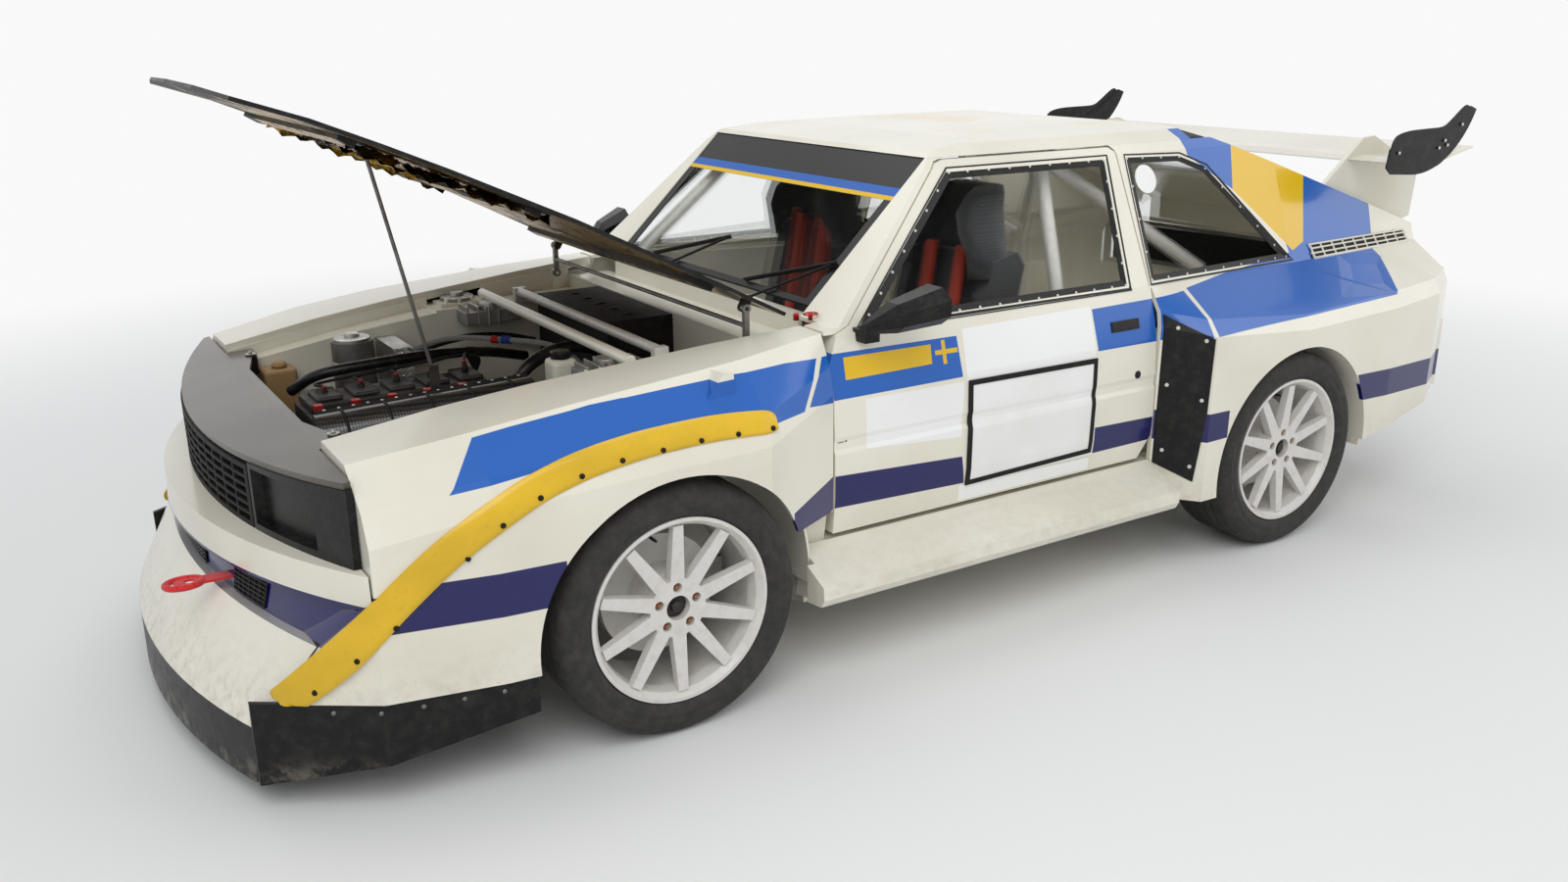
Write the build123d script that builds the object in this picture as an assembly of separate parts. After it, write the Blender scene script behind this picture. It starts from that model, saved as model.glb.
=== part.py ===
from build123d import *
import math
import os

# Rally car, in millimetres. +X forward, +Y to the left, +Z up.
# The origin is on the ground, at the middle of the car's length and width.

os.makedirs("parts", exist_ok=True)

# Overall sizes
LENGTH = 4240
HALF_WIDTH = 930
ROOF_Z = 1344
WHEELBASE = 2204
NOSE_X = LENGTH / 2
TAIL_X = -LENGTH / 2
FRONT_X = NOSE_X - 1060
REAR_X = FRONT_X - WHEELBASE

# Wheels
TYRE_R = 320
TYRE_W = 235
TYRE_OUT_Y = 905
WHEEL_Y = TYRE_OUT_Y - TYRE_W / 2
RIM_R = 233
SPOKES = 10
WHEEL_NUTS = 5
NUT_CIRCLE_R = 52
HUB_R = 74
ARCH_R = 368
ARCH_Z = 296
STEER_R = 396

# Body shell
SKIN = 14
PANEL_GAP = 6
SEAT_GAP = 0.3
SILL_Z = 362
DOOR_Y = 800
BELT_Z = 890
WELL_Y = 490
FLOOR_Z = 160
FLOOR_T = 14

# Door
DOOR_FRONT_X = 560
DOOR_REAR_X = -604
DOOR_BOTTOM_Z = SILL_Z + 10
DOOR_TOP_Z = 1284
DOOR_HINGE_X = 525
DOOR_HINGE_Y = 788
DOOR_T = 70
HINGE_ZS = (450, 630)
HINGE_PIN_R = 4

# Front steering axis, leaning inwards
KING_Z = 200
KING_Y = 700
KING_LEAN = 12

# Bonnet and its two link arms
LINK_LEN = 90
LINK_X = 705
LINK_Z = 864
LINK_Y = 608
BONNET_OPEN = 31.3
BONNET_FRONT_X = 1880
BONNET_REAR_X = 522
BONNET_T = 10
BONNET_FRONT_Y = 529
BAY_FLARE = 0.0847

# Prop rod
ROD_Y = 100
ROD_R = 5
ROD_TOP_X = 1475
ROD_TOP_Z = 792
ROD_FOOT_X = 1361
ROD_FOOT_Z = 782

# Boot lid
LID_FRONT_X = -1562
LID_HALF = 600
LID_HINGE_X = -1556
LID_HINGE_Z = 1124
LID_HINGE_Y = 380

# Half width of the rear wing's plane
WING_HALF = 800


def prism_x(points, x0, x1):
    """A (y, z) outline pushed along X."""
    face = make_face(Polyline([Vector(x0, y, z) for y, z in points], close=True))
    return extrude(face, x1 - x0, dir=(1, 0, 0))


def prism_y(points, y0, y1):
    """An (x, z) outline pushed along Y."""
    face = make_face(Polyline([Vector(x, y0, z) for x, z in points], close=True))
    return extrude(face, y1 - y0, dir=(0, 1, 0))


def prism_z(points, z0, z1):
    """An (x, y) outline pushed along Z."""
    face = make_face(Polyline([Vector(x, y, z0) for x, y in points], close=True))
    return extrude(face, z1 - z0, dir=(0, 0, 1))


def block(x0, x1, y0, y1, z0, z1):
    """A box between two corners."""
    return Pos((x0 + x1) / 2, (y0 + y1) / 2, (z0 + z1) / 2) * Box(abs(x1 - x0), abs(y1 - y0), abs(z1 - z0))


def rod(start, end, radius):
    """A round bar between two points."""
    a = Vector(*start)
    b = Vector(*end)
    plane = Plane(origin=a, z_dir=b - a)
    return plane * Cylinder(radius, (b - a).length, align=(Align.CENTER, Align.CENTER, Align.MIN))


def disc_y(x, y0, y1, z, radius):
    """A cylinder along Y."""
    return rod((x, y0, z), (x, y1, z), radius)


def flipped(solid):
    """The same piece on the other side of the car."""
    return mirror(solid, about=Plane.XZ)


def save(name, *solids):
    """Write one sub-part."""
    pieces = []
    for solid in solids:
        pieces.extend(solid.solids())
    shape = pieces[0] if len(pieces) == 1 else Compound(children=pieces)
    shape.label = name
    export_step(shape, "parts/" + name + ".step")


def offset_chain(chain, distance):
    """An open chain of (y, z) points moved sideways by a distance, to its right."""
    moved = []
    for i, point in enumerate(chain):
        normals = []
        if i > 0:
            normals.append(unit_normal(chain[i - 1], point))
        if i < len(chain) - 1:
            normals.append(unit_normal(point, chain[i + 1]))
        ny = sum(n[0] for n in normals)
        nz = sum(n[1] for n in normals)
        size = math.hypot(ny, nz)
        ny, nz = ny / size, nz / size
        stretch = 1 / max(0.4, ny * normals[0][0] + nz * normals[0][1])
        moved.append((point[0] + ny * distance * stretch, point[1] + nz * distance * stretch))
    return moved


def unit_normal(a, b):
    """The unit vector to the right of the step from a to b."""
    dy = b[0] - a[0]
    dz = b[1] - a[1]
    size = math.hypot(dy, dz)
    return (dz / size, -dy / size)


def skin_loft(stations, thickness):
    """A skin through open chains of (y, z) points, one chain for each X."""
    faces = []
    for x, chain in stations:
        loop = list(chain) + offset_chain(chain, thickness)[::-1]
        faces.append(make_face(Polyline([Vector(x, y, z) for y, z in loop], close=True)))
    return loft(faces, ruled=True)


def inside_of(stations, depth):
    """The space on the inner side of a skin, a depth away from its outer face."""
    loops = []
    for x, chain in stations:
        inner = offset_chain(chain, depth)
        loops.append((x, inner + [(300, inner[-1][1]), (300, inner[0][1])]))
    return solid_loft(loops)


def solid_loft(stations):
    """A solid through closed (y, z) outlines, one for each X."""
    faces = [make_face(Polyline([Vector(x, y, z) for y, z in loop], close=True)) for x, loop in stations]
    return loft(faces, ruled=True)


def bay_y(x):
    """Half width of the engine bay opening."""
    return BONNET_FRONT_Y + PANEL_GAP + (BONNET_FRONT_X - x) * BAY_FLARE


# Height of the wing top and bonnet along the car: X, Z
TOP_LINE = ((1990, 715), (1880, 745), (1704, 785), (1457, 820), (1125, 858), (750, 887), (440, 908))


def top_z(x):
    """Height of the bonnet line at X."""
    for (xa, za), (xb, zb) in zip(TOP_LINE, TOP_LINE[1:]):
        if x >= xb:
            return za + (zb - za) * (xa - x) / (xa - xb)
    return TOP_LINE[-1][1]


# Front wing: X, shoulder Y, shoulder drop below the top line, crease Y, crease Z, side Y
WING_TABLE = (
    (1995, 600, 6, 672, 600, 700),
    (1757, 735, 3, 830, 690, 862),
    (1500, 790, 2, 885, 735, 912),
    (1280, 800, 2, 905, 752, HALF_WIDTH),
    (830, 790, 4, 905, 765, HALF_WIDTH),
    (DOOR_FRONT_X + 7, 742, 2, 784, 820, DOOR_Y),
)
WING_BOTTOM_Z = 268
WING_TOE_Z = 440
# Seam between wing and nose: X, Z
NOSE_JOINT = ((1757, 500), (1860, 400), (1944, 268))


def wheel_tunnel(axle_x, y0, y1):
    """The round space that a wheel runs in."""
    return disc_y(axle_x, y0, y1, ARCH_Z, ARCH_R)


def wing_stations():
    """Outer sections of the front wing."""
    stations = []
    for x, shoulder_y, drop, crease_y, crease_z, side_y in WING_TABLE:
        edge = bay_y(x)
        top = top_z(x)
        chain = [(edge, top - 26), (edge, top), (shoulder_y, top - drop)]
        chain += [(crease_y, crease_z), (side_y, crease_z - 70), (side_y, WING_BOTTOM_Z - 20)]
        stations.append((x, chain))
    return stations


# Air outlet on the wing top seen from the side: X, Z
WING_OUTLET = ((962, 806), (914, 866), (885, 862), (878, 778), (896, 776), (900, 800))


def front_wing():
    skin = skin_loft(wing_stations(), SKIN) + prism_y(WING_OUTLET, 796, 852)
    rear = DOOR_FRONT_X + 7
    joint_x, joint_z = NOSE_JOINT[0]
    side = [(rear, WING_TOE_Z), (FRONT_X, WING_TOE_Z), (FRONT_X, WING_BOTTOM_Z)]
    side += list(reversed(NOSE_JOINT)) + [(joint_x, 1000), (rear, 1000)]
    cheek = block(joint_x - 10, joint_x, bay_y(joint_x) + 3, 1000, joint_z + 2, 1000)
    skin = (skin & prism_y(side, 400, 1100)) + (cheek & inside_of(wing_stations(), 2))
    return skin - wheel_tunnel(FRONT_X, 400, 1100)


def nose_outline(z, front_x, side_x, side_y, back_x):
    """Plan of the nose: an arc across the front and straight sides."""
    arc = ThreePointArc((side_x, -side_y, z), (front_x, 0, z), (side_x, side_y, z))
    rest = Polyline((side_x, side_y, z), (back_x, side_y, z), (back_x, -side_y, z), (side_x, -side_y, z))
    return make_face([arc, rest])


# Nose bands: lower Z, front X, side X, side Y, then the same at the upper Z
NOSE_BANDS = (
    (200, 2118, 1990, 690, 400, 2003, 1858, 792),
    (398, 1982, 1838, 784, 482, 1982, 1755, 846),
    (480, 2014, 1757, 862, 560, 2010, 1757, 858),
)


def nose_cone():
    back = 1735
    whole = None
    hollow = None
    t = SKIN
    for z0, f0, sx0, sy0, z1, f1, sx1, sy1 in NOSE_BANDS:
        band = loft([nose_outline(z0, f0, sx0, sy0, back), nose_outline(z1, f1, sx1, sy1, back)], ruled=True)
        low = z0 - 2 if z0 < 300 else z0 + 10
        high = z1 - 10
        core = loft([nose_outline(low, f0 - t, sx0 - t, sy0 - t, back - 20), nose_outline(high, f1 - t, sx1 - t, sy1 - t, back - 20)],
                    ruled=True)
        whole = band if whole is None else whole + band
        hollow = core if hollow is None else hollow + core
    cone = whole - hollow
    seam = [(x + 4, z) for x, z in NOSE_JOINT]
    ahead = [(seam[0][0], 600)] + seam + [(1992, 200), (1992, 190), (2200, 190), (2200, 600)]
    beyond = skirt_loft(SKIN + SEAT_GAP, -200, WING_BOTTOM_Z)
    return (cone & prism_y(ahead, -1000, 1000)) - beyond - flipped(beyond)


def skirt_loft(inner, outer, top):
    """The left skirt between two depths inward of its outer face."""
    stations = []
    for x, y, low in ((1999, 694, 66), (1757, 858, 118), (1434, 918, 180)):
        stations.append((x, [(y - outer, top), (y - 4 - outer, low), (y - 4 - inner, low), (y - inner, top)]))
    return solid_loft(stations)


def front_splitter():
    """The black lip and the skirts that run back to the front wheels."""
    lip_top = nose_outline(199.7, 2118, 1990, 690, 1900)
    lip_low = nose_outline(62, 2120, 2002, 664, 1900)
    lip = loft([lip_low, lip_top], ruled=True)
    cavity = block(1800, 1960, -640, 640, 80, 300)
    lip = lip - cavity
    skirt = skirt_loft(SKIN, 0, WING_BOTTOM_Z - SEAT_GAP)
    return lip + skirt + flipped(skirt)


def upper_nose(z0, z1, depth):
    """The band of the nose that holds grille and lamps."""
    outer = nose_outline(z0, 1945, 1775, 800, 1761)
    inner = nose_outline(z0, 1945 - depth, 1775 - depth, 800 - depth / 2, 1700 - depth)
    return extrude(outer, z1 - z0, dir=(0, 0, 1)) - extrude(inner, z1 - z0, dir=(0, 0, 1))


GRILLE_Z = (560.3, 709)
GRILLE_HALF = 425
LAMP_IN_Y = 432


def grille():
    band = upper_nose(*GRILLE_Z, 34)
    whole = band & block(1700, 2000, -GRILLE_HALF, GRILLE_HALF, 500, 800)
    holes = None
    rows = 6
    columns = 12
    step_y = 2 * (GRILLE_HALF - 12) / columns
    step_z = (GRILLE_Z[1] - GRILLE_Z[0] - 16) / rows
    for column in range(columns):
        for row in range(rows):
            y = -GRILLE_HALF + 12 + step_y * (column + 0.5)
            z = GRILLE_Z[0] + 8 + step_z * (row + 0.5)
            hole = Pos(1900, y, z) * Box(200, step_y - 7, step_z - 8)
            holes = hole if holes is None else holes + hole
    return whole - holes


def headlamp():
    """A lamp housing with a recessed cover, wrapped round the corner."""
    band = upper_nose(GRILLE_Z[0], GRILLE_Z[1] + 60, 90) & below_slam(1700, 2000)
    lamp = band & block(1700, 2000, LAMP_IN_Y, 900, 500, 800)
    recess = upper_nose(GRILLE_Z[0] + 16, GRILLE_Z[1] - 2, 22) & block(1700, 2000, LAMP_IN_Y + 12, 690, 500, 800)
    return lamp - recess


def slam_panel():
    """Dark panel between grille and engine bay."""
    sheet = prism_y([(1690, 756), (1761, 752), (1945, 724), (1945, 710), (1761, 738), (1690, 742)], -790, 790)
    ahead = extrude(nose_outline(700, 1940, 1775, 792, 1761), 100, dir=(0, 0, 1))
    edge = bay_y(1761) - PANEL_GAP - 4
    behind = block(1690, 1761, -edge, edge, 700, 800)
    hole = prism_z([(1600, -470), (1700, -470), (1742, -300), (1742, 300), (1700, 470), (1600, 470)], 700, 800)
    return (sheet & (ahead + behind)) - hole


def below_slam(x0, x1):
    """The space under the dark panel."""
    return prism_y([(x0, 500), (x1, 500), (x1, 709.7 + (1945 - x1) * 0.152), (x0, 709.7 + (1945 - x0) * 0.152)], -900, 900)


def bonnet_shape():
    """The bonnet lid where it lies when shut."""
    upper = []
    steps = 9
    for i in range(steps + 1):
        x = BONNET_REAR_X + (BONNET_FRONT_X - BONNET_REAR_X) * i / steps
        upper.append((x, top_z(x) - 1))
    lower = [(x, z - BONNET_T) for x, z in reversed(upper)]
    sheet = prism_y(upper + lower, -700, 700)
    front_y = BONNET_FRONT_Y
    rear_y = bay_y(BONNET_REAR_X) - PANEL_GAP
    plan = [(BONNET_REAR_X, -rear_y), (BONNET_FRONT_X, -front_y), (BONNET_FRONT_X + 34, -300)]
    plan += [(BONNET_FRONT_X + 44, 0), (BONNET_FRONT_X + 34, 300), (BONNET_FRONT_X, front_y), (BONNET_REAR_X, rear_y)]
    nose = prism_y([(BONNET_FRONT_X - 1, 744), (1950, 738), (1950, 730), (BONNET_FRONT_X - 1, 734)], -700, 700)
    lid = (sheet + nose) & prism_z(plan, 600, 1100)
    ribs = None
    for x in (BONNET_REAR_X + 200, 1200, BONNET_FRONT_X - 250):
        y = bay_y(x) - PANEL_GAP - 60
        rib = block(x - 20, x + 20, -y, y, top_z(x) - BONNET_T - 16, top_z(x) - BONNET_T + 2)
        ribs = rib if ribs is None else ribs + rib
    lugs = None
    for side in (-1, 1):
        y0 = side * (LINK_Y - 22)
        y1 = side * (LINK_Y - 8)
        x = LINK_X - LINK_LEN
        lug = block(x - 12, x + 12, y0, y1, LINK_Z, top_z(x) - BONNET_T + 2) + disc_y(x, y0, y1, LINK_Z, 12)
        lug = lug + disc_y(x, y0, side * (LINK_Y + 8), LINK_Z, 5)
        lugs = lug if lugs is None else lugs + lug
    ear = block(ROD_TOP_X + 8, ROD_TOP_X + 20, ROD_Y - 9, ROD_Y + 9, ROD_TOP_Z - 9, top_z(ROD_TOP_X) - BONNET_T + 2)
    pin = rod((ROD_TOP_X - 8, ROD_Y, ROD_TOP_Z), (ROD_TOP_X + 12, ROD_Y, ROD_TOP_Z), 4)
    return lid + ribs + lugs + ear + pin


def opened(shape):
    """Moves what is on the bonnet from shut to its open place."""
    shut = (LINK_X - LINK_LEN, 0, LINK_Z)
    up = (LINK_X, 0, LINK_Z + LINK_LEN)
    return Pos(*up) * Rot(0, -BONNET_OPEN, 0) * Pos(-shut[0], 0, -shut[2]) * shape


def bonnet_links():
    links = []
    for side in (-1, 1):
        y0 = side * (LINK_Y - 7)
        y1 = side * (LINK_Y + 7)
        arm = block(LINK_X - 7, LINK_X + 7, y0, y1, LINK_Z, LINK_Z + LINK_LEN)
        arm = arm + disc_y(LINK_X, y0, y1, LINK_Z, 12) + disc_y(LINK_X, y0, y1, LINK_Z + LINK_LEN, 12)
        arm = arm - disc_y(LINK_X, side * 500, side * 700, LINK_Z, 5.3)
        arm = arm - disc_y(LINK_X, side * 500, side * 700, LINK_Z + LINK_LEN, 5.3)
        links.append(arm)
    shaft = rod((LINK_X, -(LINK_Y - 6), LINK_Z + LINK_LEN / 2), (LINK_X, LINK_Y - 6, LINK_Z + LINK_LEN / 2), 6)
    return links[0] + links[1] + shaft


def well_top(x):
    """Height of the inner wing's shelf at X."""
    return top_z(x) - 48 if x > 1300 else min(top_z(x) - 48, 806 + (1060 - x) * 0.01)


def shelf_part(x0, x1):
    """Inner wing shelf from the wall out to the flange under the wing."""
    stations = []
    for x in (x0, x1):
        z = well_top(x)
        edge = bay_y(x) - SEAT_GAP
        loop = [(WELL_Y - 8, z - 8), (edge, z - 8), (edge, top_z(x) - 18), (edge - 8, top_z(x) - 18), (edge - 8, z), (WELL_Y - 8, z)]
        stations.append((x, loop))
    return solid_loft(stations)


def arch_liner(axle_x, radius, y0, y1):
    """Half round liner over a wheel."""
    ring = disc_y(axle_x, y0, y1, ARCH_Z, radius + 8) - disc_y(axle_x, y0 - 1, y1 + 1, ARCH_Z, radius)
    return ring & block(axle_x - 400, axle_x + 400, y0 - 5, y1 + 5, WING_BOTTOM_Z + 4, 900)


def engine_bay_sides():
    """Inner wings, strut towers, wheel liners and the brackets of the bonnet links."""
    top = [(x, well_top(x) - 4) for x in (1750, 1457, 1300, 1060, 654.3)]
    wall = prism_y([(654.3, 250), (1750, 250)] + top, WELL_Y - 8, WELL_Y)
    x0 = FRONT_X - 95
    x1 = FRONT_X + 95
    shelf = shelf_part(654.3, x0 + 4) + shelf_part(x1 - 4, 1300) + shelf_part(1300, 1457) + shelf_part(1457, 1750)
    tower = block(x0, x1, WELL_Y - 8, 650, 700, 812) - block(x0 + 10, x1 - 10, WELL_Y, 642, 600, 800)
    liner = arch_liner(FRONT_X, STEER_R, WELL_Y - 4, HALF_WIDTH) & inside_of(wing_stations(), SKIN + SEAT_GAP)
    liner = liner - block(x0 + 10, x1 - 10, WELL_Y, 668, 600, 800)
    legs = block(x0, x0 + 10, WELL_Y - 8, 650, 684, 702) + block(x1 - 10, x1, WELL_Y - 8, 650, 684, 702)
    ear = block(LINK_X - 12, LINK_X + 12, LINK_Y + 9, LINK_Y + 21, 800, LINK_Z) + disc_y(LINK_X, LINK_Y + 9, LINK_Y + 21, LINK_Z, 12)
    ear = ear + disc_y(LINK_X, LINK_Y - 8, LINK_Y + 12, LINK_Z, 5)
    whole = wall + shelf + tower + liner + legs + ear
    whole = whole - rod(king_point(780), king_point(840), 10 + SEAT_GAP)
    return whole - disc_y(FRONT_X, 400, 560, TYRE_R, 60)


# Cabin outline seen from the side: X, Z, from the windscreen foot over the roof to the tail
CABIN_SIDE = ((560, 900), (510, 905), (96, 1302), (-100, 1328), (-450, 1343), (-760, 1343), (-905, 1330), (-2062, 942))
# Cabin sections: X, belt half width, roof corner half width
CABIN_PLAN = ((640, 745, 592), (-520, 752, 604), (-1300, 716, 585), (TAIL_X, 650, 540))
ROOF_CORNER_Z = 1262


def cabin_tunnel(inset):
    """The long volume between the cabin's sides, moved inwards by inset."""
    stations = []
    for x, belt, corner in CABIN_PLAN:
        b = belt - inset
        c = corner - inset
        half = [(b + 24, BELT_Z - 60), (b, BELT_Z), (c, ROOF_CORNER_Z), (c - 22, 1292 - inset), (c - 70, 1318 - inset)]
        half += [(c - 250, 1338 - inset), (0, ROOF_Z - inset)]
        loop = half + [(-y, z) for y, z in reversed(half[:-1])]
        stations.append((x, loop))
    return solid_loft(stations)


def cabin_solid(inset):
    """The greenhouse volume, moved inwards by inset."""
    side = [(x, z - inset * 1.05) for x, z in CABIN_SIDE]
    side = [(700, BELT_Z - 60)] + side + [(TAIL_X, 880), (TAIL_X, BELT_Z - 60)]
    return cabin_tunnel(inset) & prism_y(side, -1000, 1000)


CABIN_OUT = cabin_solid(0)
CABIN_IN = cabin_solid(SKIN + 8)
CABIN_SHELL = CABIN_OUT - CABIN_IN

# Side openings seen from the side, X and Z
DOOR_EDGE = ((DOOR_FRONT_X, DOOR_BOTTOM_Z), (DOOR_FRONT_X, 820), (528, 888), (478, 906), (92, DOOR_TOP_Z - 8))
DOOR_EDGE += ((60, DOOR_TOP_Z), (-560, DOOR_TOP_Z), (-578, DOOR_TOP_Z - 14), (DOOR_REAR_X, 860), (DOOR_REAR_X, 440))
DOOR_EDGE += ((-560, DOOR_BOTTOM_Z),)
DOOR_GLASS = ((448, 900), (66, 1252), (-528, 1252), (-512, 900))
QUARTER_HOLE = ((-620, 902), (-620, 1252), (-850, 1244), (-960, 1206), (-1294, 902))
REAR_GLASS_X = (-930.3, -1529.7)


def grown(points, amount):
    """A side outline made larger all round by an amount."""
    wire = Polyline([Vector(x, 0, z) for x, z in points], close=True)
    face = make_face(wire)
    cx = sum(p[0] for p in points) / len(points)
    cz = sum(p[1] for p in points) / len(points)
    half_x = (max(p[0] for p in points) - min(p[0] for p in points)) / 2
    half_z = (max(p[1] for p in points) - min(p[1] for p in points)) / 2
    return [(cx + (x - cx) * (1 + amount / half_x), cz + (z - cz) * (1 + amount / half_z)) for x, z in points]


def roof_panel():
    """Roof skin with the header over the windscreen and the rear rail."""
    cut = block(140, -930, -1000, 1000, DOOR_TOP_Z + PANEL_GAP, 1500)
    return CABIN_SHELL & cut


def pillars():
    """Windscreen pillars and door posts; the front posts carry the door hinges."""
    side = CABIN_SHELL & block(-606, 560, 560, 800, BELT_Z + 0.3, DOOR_TOP_Z + PANEL_GAP - 0.3)
    side = side - prism_y(grown(DOOR_EDGE, PANEL_GAP), 300, 1000)
    screen = prism_y([(482, 880), (700, 880), (700, 1400), (80, 1400), (80, 1262)], 0, 566)
    side = side - screen - block(BONNET_REAR_X - PANEL_GAP, 700, 0, bay_y(BONNET_REAR_X) + 4, 800, 1000)
    post = [(664, SILL_Z - 5.7), (770, SILL_Z - 5.7), (782, 420), (780, 730), (748, BELT_Z - 34), (664, BELT_Z - 34)]
    hinge_post = prism_x(post, 575, 639)
    for z in HINGE_ZS:
        hinge_post = hinge_post + block(DOOR_HINGE_X - 5, 580, 702, 712, z - 8, z + 8)
        hinge_post = hinge_post + block(DOOR_HINGE_X - 5, DOOR_HINGE_X + 5, 702, DOOR_HINGE_Y, z - 8, z + 8)
        hinge_post = hinge_post + Pos(DOOR_HINGE_X, DOOR_HINGE_Y, z) * Cylinder(6, 16)
        hinge_post = hinge_post + Pos(DOOR_HINGE_X, DOOR_HINGE_Y, z) * Cylinder(HINGE_PIN_R, 60)
    lock_post = block(-690, -620, 640.3, 716, SILL_Z - 5.7, BELT_Z - 16)
    return [solid for solid in side.solids() if solid.volume > 2000] + [hinge_post, lock_post]


def door():
    """Door with its lower panel, window frame, cut window and hinge pockets."""
    lower = [(DOOR_Y - 10, DOOR_BOTTOM_Z), (DOOR_Y, 470), (DOOR_Y, 588)] + [(DOOR_Y - 6, 600), (DOOR_Y - 6, 620)]
    lower += [(DOOR_Y - 3, 632), (DOOR_Y - 8, 740), (DOOR_Y - 46, BELT_Z)]
    lower += [(DOOR_Y - 46 - DOOR_T, BELT_Z), (DOOR_Y - 8 - DOOR_T, 740), (DOOR_Y - DOOR_T, 575), (DOOR_Y - DOOR_T, 470)]
    lower += [(DOOR_Y - 10 - DOOR_T, DOOR_BOTTOM_Z)]
    panel = prism_x(lower, -700, 700)
    frame = (CABIN_SHELL - cabin_tunnel(SKIN + 10)) & block(-700, 700, 560, 800, BELT_Z, 1400)
    whole = (panel + frame) & prism_y(DOOR_EDGE, 400, 1000)
    whole = whole - prism_y(DOOR_GLASS, 400, 1000)
    for z in HINGE_ZS:
        whole = whole - block(DOOR_HINGE_X - 11, 600, 600, DOOR_HINGE_Y - 2, z - 13, z + 13)
        whole = whole - Pos(DOOR_HINGE_X, DOOR_HINGE_Y - 3, z) * Cylinder(10, 26)
        whole = whole - block(DOOR_HINGE_X, DOOR_HINGE_X + 24, DOOR_HINGE_Y - 4, DOOR_HINGE_Y + 6, z - 13, z + 13)
        whole = whole - Pos(DOOR_HINGE_X, DOOR_HINGE_Y, z) * Cylinder(HINGE_PIN_R + SEAT_GAP, 62)
    return whole


def side_glass(points):
    """A flat pane in the tumblehome of the cabin side."""
    pane = cabin_solid(6) - cabin_solid(10)
    return pane & prism_y(grown(points, -SEAT_GAP), 400, 1000)


def belt_y(x):
    """Half width of the body at the belt line."""
    for (xa, ya, _), (xb, yb, _) in zip(CABIN_PLAN, CABIN_PLAN[1:]):
        if x >= xb:
            return ya + (yb - ya) * (xa - x) / (xa - xb)
    return CABIN_PLAN[-1][1]


# Rear flare: X, side Y, crease Y, crease Z
FLARE_TABLE = (
    (-612, DOOR_Y, DOOR_Y - 8, 820),
    (-712, HALF_WIDTH - 2, 884, 800),
    (-1144, HALF_WIDTH, 908, 768),
    (-1620, 912, 880, 778),
    (-1900, 880, 850, 790),
    (-2056, 806, 786, 800),
)
FLARE_BOTTOM_Z = 240


def flare_chain(x, side_y, crease_y, crease_z, shift):
    """One section of the rear flare's outer surface, moved outwards by shift."""
    chain = [(belt_y(x) - 2, BELT_Z), (crease_y, crease_z), (side_y, crease_z - 46), (side_y - 6, FLARE_BOTTOM_Z)]
    return [(y + shift, z) for y, z in chain]


def rear_quarter():
    """Rear quarter panel with its boxed wheel flare and the roof's rear pillar."""
    stations = [(row[0], flare_chain(*row, 0)) for row in FLARE_TABLE]
    skin = skin_loft(stations, SKIN)
    skin = skin - wheel_tunnel(REAR_X, 400, 1100)
    rising = [(-612, FLARE_BOTTOM_Z), (REAR_X, FLARE_BOTTOM_Z), (-1540, 300), (TAIL_X, 390), (TAIL_X, 1000), (-612, 1000)]
    skin = skin & prism_y(rising, 300, 1100)
    pillar = CABIN_SHELL & block(-606.3, -2056, 500, 900, BELT_Z - 6, DOOR_TOP_Z + PANEL_GAP - 0.3)
    pillar = pillar - prism_y(QUARTER_HOLE, 300, 1000)
    pillar = pillar - block(-930, LID_FRONT_X + PANEL_GAP, 0, 560, 800, 1400)
    pillar = pillar - block(LID_FRONT_X + PANEL_GAP, TAIL_X, 0, LID_HALF + PANEL_GAP, 800, 1400)
    return skin + pillar


def rear_glass_pane():
    pane = cabin_solid(4) - cabin_solid(9)
    return pane & block(REAR_GLASS_X[0], REAR_GLASS_X[1], -560 + SEAT_GAP, 560 - SEAT_GAP, 1000, 1400)


def windscreen_pane():
    pane = cabin_solid(4) - cabin_solid(9)
    return pane & block(84, 482, -566 + SEAT_GAP, 566 - SEAT_GAP, 906, DOOR_TOP_Z + PANEL_GAP - SEAT_GAP)


def floor_pan():
    floor = block(640, -760, -640, 640, FLOOR_Z, FLOOR_Z + FLOOR_T) + block(-760, -1000, -484, 484, FLOOR_Z, FLOOR_Z + FLOOR_T)
    tunnel = prism_x([(-130, FLOOR_Z), (-100, 330), (100, 330), (130, FLOOR_Z), (112, FLOOR_Z), (88, 316), (-88, 316), (-112, FLOOR_Z)], -1000, 640)
    floor = floor - block(700, -1100, -112, 112, FLOOR_Z - 1, FLOOR_Z + FLOOR_T + 1)
    firewall = block(640, 654, -640, 640, FLOOR_Z, 850) - block(600, 700, -88, 88, 0, 300)
    kick = block(-1000, -1014, -484, 484, FLOOR_Z, 560) - rod((-1020, 0, 256), (-990, 0, 256), 46)
    pads = block(60, 140, 560, 620, FLOOR_Z - 10, FLOOR_Z + 2)
    return floor + tunnel + firewall + kick + pads + flipped(pads)


def boot_floor():
    """Shelf over the rear axle and the tub behind it."""
    deck = block(-1014.3, -1574, -484, 484, 546, 560)
    tub = block(-1560, -2040, -484, 484, 300, 314) + block(-1560, -1574, -484, 484, 300, 560)
    tub = tub + block(-2026, -2040, -484, 484, 300, 590)
    tub = tub + block(-1560, -2040, 470, 484, 300, 590) + block(-1560, -2040, -484, -470, 300, 590)
    return deck + tub


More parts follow.
